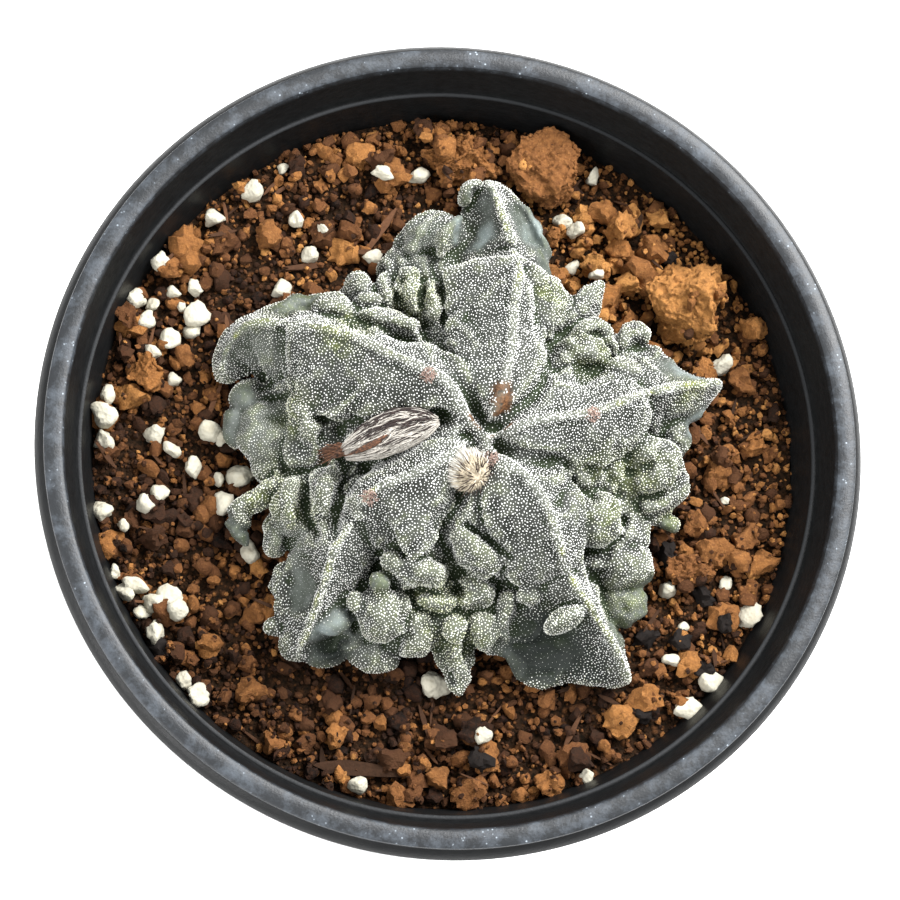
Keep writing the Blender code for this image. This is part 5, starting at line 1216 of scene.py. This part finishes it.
def flower_axis(tree):
    """The axis and radius of the dried flower, laid on the skin."""
    curve = smooth_rows(FLOWER_PATH, 80)
    height = FLOWER_HEIGHT - FLOWER_SLOPE * np.linspace(0.0, 1.0, len(curve))
    lift = max(surface_below(tree, x, y) + 0.5 * radius - z for (x, y, radius), z in zip(curve, height))
    axis = np.column_stack([curve[:, :2], SOIL_LEVEL + height + lift])
    return axis, curve[:, 2]


def dress_flower(tree):
    """The withered flower: a tube under pale wool and dark scales, with shrunken petals at its end."""
    draw = np.random.default_rng(23)
    axis, radius = flower_axis(tree)
    ahead = np.gradient(axis, axis=0)
    ahead /= np.linalg.norm(ahead, axis=1, keepdims=True)
    across = np.cross(ahead, (0.0, 0.0, 1.0))
    across /= np.linalg.norm(across, axis=1, keepdims=True)
    over = np.cross(across, ahead)

    def on_tube(at, angle, out):
        step = np.clip(np.rint(at * (len(axis) - 1)).astype(int), 0, len(axis) - 1)
        spoke = np.cos(angle)[:, None] * across[step] + np.sin(angle)[:, None] * over[step]
        return axis[step] + spoke * (radius[step] + out)[:, None]

    core = fresh(bpy.ops.mesh.primitive_uv_sphere_add, segments=48, ring_count=64, radius=1.0)
    side, up, run = (points_of(core) * MM).T
    angle = np.arctan2(up, side)
    at = 0.5 * (1.0 + run)
    full = (1.0 - np.clip(np.abs(run), 0.0, 1.0) ** 4) ** 0.25
    step = np.clip(np.rint(at * (len(axis) - 1)).astype(int), 0, len(axis) - 1)
    set_points(core, on_tube(at, angle, (full - 1.0) * radius[step] - 0.25))
    core.name = "flower_tube"
    roughen(core, 0.8, 0.3)
    apply_modifiers(smooth_shade(core))
    wear(core, fibre_material("flower_tube_wool", (0.20, 0.16, 0.13), (0.45, 0.41, 0.36)), "dried_flower",
         "dried_flower")

    def strand(start, length, angle, drift, out, thick):
        along = np.linspace(start, min(start + length, 1.0), 7)
        bend = np.linspace(0.0, 1.0, 7)
        path = on_tube(along, angle + drift * bend, out * (0.3 + 0.9 * np.sin(bend * 2.6)))
        return path, thick * np.array([0.5, 0.9, 1.0, 0.95, 0.8, 0.5, 0.08])

    wool = []
    for _ in range(FLOWER_WOOL):
        start = draw.beta(1.0, 1.4) * 0.84
        angle = draw.uniform(0.0, math.tau)
        wool.append(strand(start, draw.uniform(0.16, 0.36), angle, draw.normal(0.0, 0.3),
                           draw.uniform(0.0, 0.42), draw.uniform(0.06, 0.13)))
    lay_threads("flower_wool", wool, "dried_flower",
                "pale_wool", (0.26, 0.235, 0.20), (0.55, 0.52, 0.47))
    streaks = []
    for _ in range(FLOWER_SCALES):
        start = 0.02 + draw.beta(1.0, 1.5) * 0.72
        angle = draw.normal(math.pi * 0.36, 0.62)
        streaks.append(strand(start, draw.uniform(0.16, 0.34), angle, draw.normal(0.0, 0.14),
                              draw.uniform(0.3, 0.5), draw.uniform(0.05, 0.11)))
    lay_threads("flower_scales", streaks, "dried_flower",
                "brown_scale", (0.006, 0.004, 0.004), (0.036, 0.020, 0.016))
    petals = [strand(0.58 + 0.04 * number, 0.34, math.pi * (0.56 + 0.03 * number), 0.1, 0.5, 0.26)
              for number in range(3)]
    end = axis[-1]
    for _ in range(FLOWER_PETALS):
        path = np.array([(x, y, end[2] - SOIL_LEVEL) for x, y in FLOWER_TAIL]) + (0.0, 0.0, SOIL_LEVEL)
        path = smooth_rows(path, 8)
        fan = np.linspace(0.2, 1.0, 8)[:, None]
        path = path + fan * draw.normal(0.0, (0.5, 0.75, 0.4)) + draw.normal(0.0, 0.14, (8, 3))
        path[:, 2] -= 1.4 * fan[:, 0] ** 2
        reach = draw.integers(5, 9)
        petals.append((path[:reach], draw.uniform(0.08, 0.24) * np.linspace(1.0, 0.3, reach)))
    lay_threads("flower_petals", petals, "dried_flower",
                "withered_petal", (0.006, 0.003, 0.002), (0.15, 0.060, 0.025), 0.8, sides=5)


def dress_bud(tree):
    """The woolly bud: a ball of cream wool combed from its tip, with dark bristles round the tip."""
    draw = np.random.default_rng(31)
    x, y = BUD_PLACE
    middle = np.array([x, y, SOIL_LEVEL + surface_below(tree, x, y) + 0.72 * BUD_RADIUS])
    tip = np.array(BUD_TIP)
    side = np.cross(tip, (0.0, 1.0, 0.0))
    side /= np.linalg.norm(side)
    over = np.cross(tip, side)
    ball = fresh(bpy.ops.mesh.primitive_ico_sphere_add, subdivisions=5, radius=1.0)
    set_points(ball, middle + points_of(ball) * MM * (BUD_RADIUS - 0.25))
    ball.name = "bud_ball"
    roughen(ball, 0.6, 0.35)
    apply_modifiers(smooth_shade(ball))
    wear(ball, fibre_material("bud_wool", (0.32, 0.26, 0.18), (0.58, 0.50, 0.37)), "dried_bud", "dried_bud")

    def combed(first, last, angle, out, thick, count=6):
        polar = np.linspace(first, last, count)
        spoke = math.cos(angle) * side + math.sin(angle) * over
        way = np.cos(polar)[:, None] * tip + np.sin(polar)[:, None] * spoke
        lift = BUD_RADIUS + out * np.linspace(0.0, 1.0, count)
        return middle + way * lift[:, None], thick * np.linspace(1.0, 0.2, count)

    cream = []
    for _ in range(BUD_FIBRES):
        first = math.acos(draw.uniform(-0.1, 0.99))
        cream.append(combed(first, first + draw.uniform(0.15, 0.5), draw.uniform(0.0, math.tau),
                            draw.uniform(0.1, 0.6), draw.uniform(0.05, 0.1)))
    lay_threads("bud_fibres", cream, "dried_bud",
                "cream_fibre", (0.40, 0.33, 0.23), (0.70, 0.62, 0.48))
    white = []
    for _ in range(BUD_FLUFF):
        first = math.acos(draw.uniform(-0.9, 0.45))
        angle = draw.normal(BUD_FLUFF_ANGLE, 1.0)
        white.append(combed(first, first + draw.uniform(0.1, 0.6), angle,
                            draw.uniform(0.1, 1.1), draw.uniform(0.05, 0.11)))
    lay_threads("bud_fluff", white, "dried_bud",
                "white_fluff", (0.52, 0.49, 0.43), (0.82, 0.80, 0.74))
    dark = []
    for number in range(BUD_BRISTLES):
        angle = number * GOLDEN_TURN + draw.normal(0.0, 0.12)
        first = 0.12 + 0.95 * math.sqrt(draw.random())
        dark.append(combed(first, first + draw.uniform(0.3, 0.55), angle, draw.uniform(0.8, 1.3),
                           draw.uniform(0.09, 0.15)))
    lay_threads("bud_bristles", dark, "dried_bud",
                "dark_bristle", (0.010, 0.006, 0.004), (0.05, 0.026, 0.016))


def dress_areoles(tree):
    """Small rosy-brown pads of felt on the crests."""
    draw = np.random.default_rng(37)
    felt = []
    for x, y, reach in AREOLES:
        for _ in range(FELT_HAIRS):
            angle = draw.uniform(0.0, math.tau)
            out = reach * math.sqrt(draw.random())
            root_x = x + out * math.cos(angle)
            root_y = y + out * math.sin(angle)
            root = np.array([root_x, root_y, SOIL_LEVEL + surface_below(tree, root_x, root_y) - 0.05])
            lean = draw.normal(0.0, 0.3, 3) + (0.0, 0.0, 0.34)
            felt.append((np.array([root, root + 0.5 * lean, root + lean + (0.0, 0.0, -0.06)]),
                         draw.uniform(0.05, 0.1) * np.array([1.0, 0.9, 0.4])))
    lay_threads("areole_felt", felt, "cactus_skin",
                "rosy_felt", (0.22, 0.13, 0.10), (0.56, 0.42, 0.36), sides=3)


# The potting mix


def inner_wall(clearance):
    """The pot's inner wall, from the floor to the ledge, moved inwards by the clearance."""
    return [
        (FLOOR_INNER_RADIUS - 0.4 - clearance, FLOOR_TOP + clearance),
        (FLOOR_INNER_RADIUS - clearance, FLOOR_TOP + 0.6 + clearance),
        (COLLAR_INNER_RADIUS - clearance, POT_HEIGHT - COLLAR_DROP),
        (LEDGE_RADIUS - clearance, POT_HEIGHT - LEDGE_DROP),
    ]


def wall_radius(height):
    corners = inner_wall(0.0)
    return float(np.interp(height, [z for _, z in corners], [r for r, _ in corners]))


def turned(name, profile, steps):
    """A solid turned about Z from a profile of radius and height."""
    points = [(radius, 0.0, height) for radius, height in profile]
    outline = mesh_piece(name, points, np.empty((0, 3), int))
    outline.data.edges.add(len(points) - 1)
    pairs = np.column_stack([np.arange(len(points) - 1), np.arange(1, len(points))])
    outline.data.edges.foreach_set("vertices", pairs.ravel())
    screw = outline.modifiers.new("Turn", "SCREW")
    screw.steps = screw.render_steps = steps
    screw.use_merge_vertices = True
    screw.merge_threshold = 0.00001
    apply_modifiers(outline)
    bpy.ops.object.mode_set(mode="EDIT")
    bpy.ops.mesh.select_all(action="SELECT")
    bpy.ops.mesh.remove_doubles(threshold=0.000001)
    bpy.ops.mesh.normals_make_consistent(inside=False)
    bpy.ops.object.mode_set(mode="OBJECT")
    return outline


def cut(piece, cutters):
    """Take the cutters out of the piece."""
    for cutter in cutters:
        boolean = piece.modifiers.new("Cut", "BOOLEAN")
        boolean.operation = "DIFFERENCE"
        boolean.object = cutter
    apply_modifiers(piece)
    for cutter in cutters:
        bpy.data.objects.remove(cutter, do_unlink=True)
    return piece


def lay_bed():
    """The dark bed under the crumbs, down to the pot's floor, with a hole for the root neck."""
    top = SOIL_LEVEL - BED_SINK
    edge = wall_radius(top) - 0.3
    profile = [(edge * ring / 60, top) for ring in range(61)]
    profile += [corner for corner in reversed(inner_wall(0.3)) if corner[1] < top]
    profile.append((0.0, FLOOR_TOP + 0.3))
    bed = turned("soil_bed", profile, 160)
    points = points_of(bed)
    upper = points[:, 2] > top - 0.01
    waves = [noise.fractal(Vector(p) / 2.4, 1.0, 2.0, 3) for p in points[upper]]
    points[upper, 2] += 0.5 * np.clip(waves, -1.0, 1.0)
    set_points(bed, points)
    hole = fresh(bpy.ops.mesh.primitive_cylinder_add, vertices=64, radius=(NECK_RADIUS + 0.4) * MM,
                 depth=2 * (NECK_DEPTH + 0.3) * MM,
                 location=(PLANT_MIDDLE[0] * MM, PLANT_MIDDLE[1] * MM, SOIL_LEVEL * MM))
    cut(bed, [hole])
    return wear(smooth_shade(bed, 50), bed_material(), "soil", "soil")


class Heap:
    """Heights of the loose mix on a grid, so that each crumb lies on those under it."""

    def __init__(self, plant_tree):
        count = int(2 * HEAP_REACH / BED_CELL)
        axis = (np.arange(count) + 0.5) * BED_CELL - HEAP_REACH
        self.x, self.y = np.meshgrid(axis, axis, indexing="ij")
        self.height = np.full((count, count), -BED_SINK)
        self.plant = plant_tree

    def clear(self, x, y, radius):
        if math.hypot(x, y) + 0.75 * radius > SOIL_RADIUS:
            return False
        if math.hypot(x - PLANT_MIDDLE[0], y - PLANT_MIDDLE[1]) < NECK_RADIUS + 4.0:
            return False
        distance = self.plant.find_nearest(Vector((x, y, SOIL_LEVEL + 0.2)) * MM)[3] / MM
        return distance > 0.8 * radius + 0.2

    def rest(self, x, y, radius, sink):
        """Height of the middle of a crumb dropped here, which then counts as part of the heap."""
        low_x = max(0, int((x - radius + HEAP_REACH) / BED_CELL))
        low_y = max(0, int((y - radius + HEAP_REACH) / BED_CELL))
        reach = int(2 * radius / BED_CELL) + 2
        window = (slice(low_x, low_x + reach), slice(low_y, low_y + reach))
        square = (self.x[window] - x) ** 2 + (self.y[window] - y) ** 2
        inside = square < radius**2
        if not inside.any():
            return -BED_SINK + radius * (1.0 - sink)
        middle = float(self.height[window][inside].mean()) + radius * (1.0 - sink)
        dome = middle + 0.8 * np.sqrt(np.maximum(radius**2 - square, 0.0))
        self.height[window] = np.where(inside, np.maximum(self.height[window], dome), self.height[window])
        return middle


def broken(points, sides, draw):
    """Unit-sphere points drawn in to flat broken sides at random round the middle."""
    facing = draw.normal(size=(sides, 3))
    facing /= np.linalg.norm(facing, axis=1, keepdims=True)
    away = draw.uniform(0.62, 0.98, sides)
    reach = np.where(points @ facing.T > 0.02, away / np.maximum(points @ facing.T, 0.02), 9.0)
    return points * np.minimum(reach.min(axis=1), 1.15)[:, None]


def crumb_patterns(count, subdivisions, rough, seed):
    """Modelled crumbs: spheres broken to flat sides, then made lumpy."""
    draw = np.random.default_rng(seed)
    patterns = []
    for number in range(count):
        crumb = fresh(bpy.ops.mesh.primitive_ico_sphere_add, subdivisions=subdivisions, radius=1.0)
        points = broken(points_of(crumb) * MM, 9, draw)
        shift = Vector((seed + 3.1 * number, 1.7 * number, 0.0))
        for k, point in enumerate(points):
            swell = noise.noise(Vector(point) * 1.3 + shift) + 0.6 * noise.noise(Vector(point) * 3.1 + shift)
            points[k] = point * (1.0 + rough * swell)
        set_points(crumb, points)
        patterns.append(as_pattern(crumb))
    return patterns


def orange_share(x, y):
    """How much of the mix at a place is bright clay rather than dark peat."""
    patch = noise.noise(Vector((x / 15.0, y / 15.0, 2.0)))
    patch += 0.6 * noise.noise(Vector((x / 6.0, y / 6.0, 7.0)))
    bright = math.exp(-((x - 30.0) ** 2 + (y - 27.0) ** 2) / 17.0**2)
    return 0.5 + 0.5 * patch + 0.002 * x + 0.003 * y + 0.6 * bright


def drop_crumbs(heap, count, radii, sink, draw, skew=1.0):
    """Places, radii and tints of crumbs dropped at random over the heap."""
    rows = []
    for _ in range(count):
        angle = draw.uniform(0.0, math.tau)
        distance = SOIL_RADIUS * math.sqrt(draw.random())
        x, y = distance * math.cos(angle), distance * math.sin(angle)
        radius = radii[0] + (radii[1] - radii[0]) * draw.random() ** skew
        if not heap.clear(x, y, radius):
            continue
        tint = np.clip(draw.normal(0.25 + 0.55 * orange_share(x, y), 0.2), 0.03, 1.0)
        rows.append((x, y, SOIL_LEVEL + heap.rest(x, y, radius, sink), radius, tint))
    return rows


def pile(name, rows, patterns, draw, flat=(0.75, 1.15)):
    """One piece from rows of x, y, z, radius and tint."""
    rows = np.array(rows)
    count = len(rows)
    sizes = rows[:, 3:4] * draw.uniform(*flat, (count, 3))
    return copies(name, patterns, draw.integers(0, len(patterns), count), rows[:, :3],
                  random_turns(count, draw), sizes, tint=rows[:, 4])


def lay_lumps(clay):
    """The five loose lumps of clay, in the form that the part's source gives them, with broken sides."""
    draw = np.random.default_rng(3)
    for number, (x, y, half_x, half_y, half_z) in enumerate(CLAY_LUMPS, start=1):
        node_name = f"clay_lump_{number}"
        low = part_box(node_name)[0]
        finer = 6 if half_x > 5.0 else 5
        lump_piece = fresh(bpy.ops.mesh.primitive_ico_sphere_add, subdivisions=finer, radius=1.0)
        sphere = points_of(lump_piece) * MM
        points = 1.06 * broken(sphere, 14, draw)
        shift = Vector((7.3 * number, 0.0, 0.0))
        rough = np.array([1.0 + 0.24 * noise.noise(Vector(p) * 1.7 + shift) for p in sphere])
        height = np.maximum(points[:, 2], -0.62)
        base = low.z / MM
        formed = np.column_stack([x + half_x * rough * points[:, 0], y + half_y * rough * points[:, 1],
                                  half_z * (1.0 + rough * height)])
        formed[:, 2] += base - formed[:, 2].min()
        set_points(lump_piece, formed)
        lump_piece.name = f"baked_{node_name}"
        roughen(lump_piece, 3.2, 1.6, noise_type="HARD_NOISE")
        roughen(lump_piece, 1.2, 0.9, noise_type="HARD_NOISE")
        roughen(lump_piece, 0.5, 0.3)
        apply_modifiers(smooth_shade(lump_piece))
        set_value(lump_piece, "tint", np.full(len(lump_piece.data.vertices), LUMP_TINTS[number - 1]))
        wear(lump_piece, clay, "clay_lump", node_name)


def slivers(heap, draw):
    """Thin pieces of bark that lie on the mix."""
    sliver = fresh(bpy.ops.mesh.primitive_cube_add, size=2.0)
    bpy.ops.object.mode_set(mode="EDIT")
    bpy.ops.mesh.select_all(action="SELECT")
    bpy.ops.mesh.subdivide(number_cuts=2)
    bpy.ops.object.mode_set(mode="OBJECT")
    points = points_of(sliver) * MM
    points *= 1.0 + 0.16 * np.sin(7.0 * points[:, [1]] + 5.0 * points[:, [0]])
    points[:, 1] *= 1.0 - 0.45 * points[:, 0] ** 2
    set_points(sliver, points)
    pattern = as_pattern(sliver)
    rows = []
    for _ in range(LOOSE_SLIVERS):
        angle = draw.uniform(0.0, math.tau)
        distance = SOIL_RADIUS * math.sqrt(draw.random())
        length = draw.uniform(0.8, 2.8)
        rows.append((distance * math.cos(angle), distance * math.sin(angle), length,
                     draw.uniform(0.14, 0.42), draw.uniform(0.0, math.tau)))
    kept = []
    for x, y, length, width, angle in BARK_PLACES + rows:
        run_x, run_y = length * math.cos(angle), length * math.sin(angle)
        ends = [(x + s * run_x, y + s * run_y) for s in (-1.0, 0.0, 1.0)]
        if not all(heap.clear(a, b, 0.6) for a, b in ends):
            continue
        z = SOIL_LEVEL + heap.rest(x, y, min(length, 1.2), 0.9)
        kept.append((x, y, z, length, width, angle))
    kept = np.array(kept)
    count = len(kept)
    turns = np.zeros((count, 3, 3))
    tilt = draw.normal(0.0, 0.16, count)
    cos, sin = np.cos(kept[:, 5]), np.sin(kept[:, 5])
    turns[:, :, 0] = np.stack([cos * np.cos(tilt), sin * np.cos(tilt), np.sin(tilt)], axis=1)
    turns[:, :, 1] = np.stack([-sin, cos, 0 * cos], axis=1)
    turns[:, :, 2] = np.cross(turns[:, :, 0], turns[:, :, 1])
    sizes = np.stack([kept[:, 3], kept[:, 4], 0.6 * kept[:, 4]], axis=1)
    tint = draw.random(count) ** 1.6
    tint[:2] = (0.8, 0.1)
    piece = copies("bark_slivers", [pattern], np.zeros(count, int), kept[:, :3], turns, sizes, tint=tint)
    wear(smooth_shade(piece, 40), bark_material(), "soil")


def fill_pot(plant_tree):
    """Crumbs of clay and peat, perlite, charcoal and bark over the dark bed."""
    draw = np.random.default_rng(5)
    lay_bed()
    clay = clay_material()
    heap = Heap(plant_tree)
    lay_lumps(clay)
    fine = drop_crumbs(heap, *FINE_CRUMBS, draw, skew=1.5)
    for x, y, half_x, half_y, _ in CLAY_LUMPS:
        heap.rest(x, y, max(half_x, half_y) * 0.8, 0.5)
    middling = drop_crumbs(heap, *MIDDLING_CRUMBS, draw, skew=1.6)
    big = []
    for x, y in BIG_CRUMBS:
        radius = draw.uniform(2.0, 3.1)
        if heap.clear(x, y, 0.7 * radius):
            big.append((x, y, SOIL_LEVEL + heap.rest(x, y, radius, 0.75), radius, draw.uniform(0.62, 0.9)))
    big += drop_crumbs(heap, *LARGE_CRUMBS, draw)
    coal = [(x, y, SOIL_LEVEL + heap.rest(x, y, 1.8, 1.0), draw.uniform(1.5, 2.3), 0.0) for x, y in CHARCOAL]
    dust = drop_crumbs(heap, *DUST_CRUMBS, draw)
    grains = []
    for number, (x, y) in enumerate(PERLITE):
        radius = draw.uniform(1.15, 1.75) if number < SMALL_PERLITE else draw.uniform(0.7, 1.2)
        if math.hypot(x, y) + 0.5 * radius < SOIL_RADIUS:
            grains.append((x, y, SOIL_LEVEL + heap.rest(x, y, radius, 0.5), radius, draw.random()))
    small = crumb_patterns(*SMALL_FORMS)
    medium = crumb_patterns(*MEDIUM_FORMS)
    large = crumb_patterns(*LARGE_FORMS)
    smooth = crumb_patterns(*PERLITE_FORMS)
    for name, rows, patterns in (("fine_crumbs", fine, small), ("dust_crumbs", dust, small),
                                 ("middling_crumbs", middling, medium), ("big_crumbs", big, large)):
        wear(smooth_shade(pile(name, rows, patterns, draw), 40), clay, "soil")
    wear(smooth_shade(pile("perlite_grains", grains, smooth, draw, (0.7, 1.35))), perlite_material(), "soil")
    wear(smooth_shade(pile("charcoal", coal, large, draw, (0.6, 1.2)), 30), charcoal_material(), "soil")
    slivers(heap, draw)


# Pot, floor, light and camera


def turn_pot():
    top = POT_HEIGHT
    profile = [(0.0, FLOOR_TOP)]
    profile += inner_wall(0.0)[:-1]
    profile += [
        (LEDGE_RADIUS - 0.9, top - LEDGE_DROP - 0.5),
        (LEDGE_RADIUS - 0.8, top - LEDGE_DROP - 0.15),
        (LEDGE_RADIUS - 0.5, top - LEDGE_DROP),
        (LEDGE_RADIUS - 0.1, top - LEDGE_DROP - 0.05),
        (LEDGE_RADIUS + 0.25, top - LEDGE_DROP + 0.4),
        (RIM_INNER_RADIUS, top - 0.6),
        (RIM_INNER_RADIUS + 0.15, top - 0.2),
        (RIM_INNER_RADIUS + 0.5, top),
        (RIM_RADIUS - 0.5, top),
        (RIM_RADIUS - 0.12, top - 0.15),
        (RIM_RADIUS, top - 0.5),
        (RIM_RADIUS - 0.1, top - 1.2),
        (RIM_RADIUS + 0.12, top - 1.45),
        (RIM_RADIUS + 0.5, top - 1.6),
        (LIP_RADIUS - 0.15, top - LIP_DROP + 0.1),
        (LIP_RADIUS, top - LIP_DROP - 0.2),
        (LIP_RADIUS - 0.2, top - LIP_DROP - 0.6),
        (LEDGE_RADIUS + WALL + 1.0, top - LIP_DROP - 1.2),
        (LEDGE_RADIUS + WALL, top - LEDGE_DROP - 0.4),
        (COLLAR_INNER_RADIUS + WALL, top - COLLAR_DROP),
        (FLOOR_INNER_RADIUS + WALL, 1.0),
        (FLOOR_INNER_RADIUS + WALL - 0.2, 0.3),
        (FLOOR_INNER_RADIUS + WALL - 0.6, 0.0),
        (FLOOR_INNER_RADIUS + WALL - 0.6 - FOOT_WIDTH, 0.0),
        (FLOOR_INNER_RADIUS + WALL - 1.4 - FOOT_WIDTH, FLOOR_UNDERSIDE),
        (0.0, FLOOR_UNDERSIDE),
    ]
    pot = turned("nursery_pot", profile, POT_STEPS)
    cutters = []
    for number in range(DRAIN_HOLES):
        angle = number * math.tau / DRAIN_HOLES
        place = DRAIN_CIRCLE_RADIUS * math.cos(angle), DRAIN_CIRCLE_RADIUS * math.sin(angle), FLOOR_TOP
        hole = fresh(bpy.ops.mesh.primitive_cylinder_add, vertices=40, radius=DRAIN_HOLE_RADIUS * MM,
                     depth=4 * FLOOR_TOP * MM, location=tuple(side * MM for side in place))
        cutters.append(hole)
    for number in range(FOOT_NOTCHES):
        angle = (number + 0.5) * math.tau / FOOT_NOTCHES
        place = (FLOOR_INNER_RADIUS * math.cos(angle) * MM, FLOOR_INNER_RADIUS * math.sin(angle) * MM, 0.0)
        notch = fresh(bpy.ops.mesh.primitive_cube_add, size=1.0, location=place, rotation=(0.0, 0.0, angle),
                      scale=tuple(side * MM for side in FOOT_NOTCH_SIZE))
        cutters.append(notch)
    cut(pot, cutters)
    wear(smooth_shade(pot, 35), pot_material(), "pot", "pot")


def set_studio():
    floor = fresh(bpy.ops.mesh.primitive_plane_add, size=6.0)
    floor.name = "studio_floor"
    floor.data.materials.append(floor_material())
    world = bpy.data.worlds.new("soft_daylight")
    bpy.context.scene.world = world
    world.use_nodes = True
    sky = world.node_tree.nodes["Background"]
    sky.inputs["Color"].default_value = (0.96, 0.98, 1.0, 1.0)
    sky.inputs["Strength"].default_value = 0.85
    for name, place, size, power in LAMPS:
        lamp = bpy.data.lights.new(name, "AREA")
        lamp.size = size * MM
        lamp.energy = power
        holder = bpy.data.objects.new(name, lamp)
        bpy.context.scene.collection.objects.link(holder)
        holder.location = Vector(place) * MM
        way = Vector((0.0, 0.0, POT_HEIGHT * MM)) - holder.location
        holder.rotation_euler = way.to_track_quat("-Z", "Y").to_euler()
    bpy.context.scene.view_settings.view_transform = "Standard"


def set_camera():
    """The photograph's view: nearly overhead, from the near side and a little from the left."""
    back = sight_line()
    right = Vector((0.0, 1.0, 0.0)).cross(back).normalized()
    lens = bpy.data.cameras.new("overhead")
    camera = bpy.data.objects.new("overhead", lens)
    bpy.context.scene.collection.objects.link(camera)
    turn = camera.matrix_world.to_3x3()
    turn.col[0] = right
    turn.col[1] = back.cross(right)
    turn.col[2] = back
    camera.matrix_world = turn.to_4x4()
    camera.location = Vector((0.0, 0.0, POT_HEIGHT * MM)) + back * CAMERA_DISTANCE * MM
    lens.sensor_width = SENSOR
    lens.lens = PIXELS_PER_MM * CAMERA_DISTANCE / PICTURE_SIDE * SENSOR
    lens.shift_x = (0.5 * PICTURE_SIDE - RIM_MIDDLE_IN_PICTURE[0]) / PICTURE_SIDE
    lens.shift_y = (RIM_MIDDLE_IN_PICTURE[1] - 0.5 * PICTURE_SIDE) / PICTURE_SIDE
    lens.clip_start = 0.01
    bpy.context.scene.camera = camera


def main():
    set_studio()
    set_camera()
    turn_pot()
    skin = grow_skin()
    marks = mark_skin(skin)
    wear(skin, skin_material(), "cactus_skin", "cactus_body")
    tree = tree_of(skin)
    sprinkle_flecks(skin, marks)
    dress_areoles(tree)
    dress_flower(tree)
    dress_bud(tree)
    fill_pot(tree)


main()
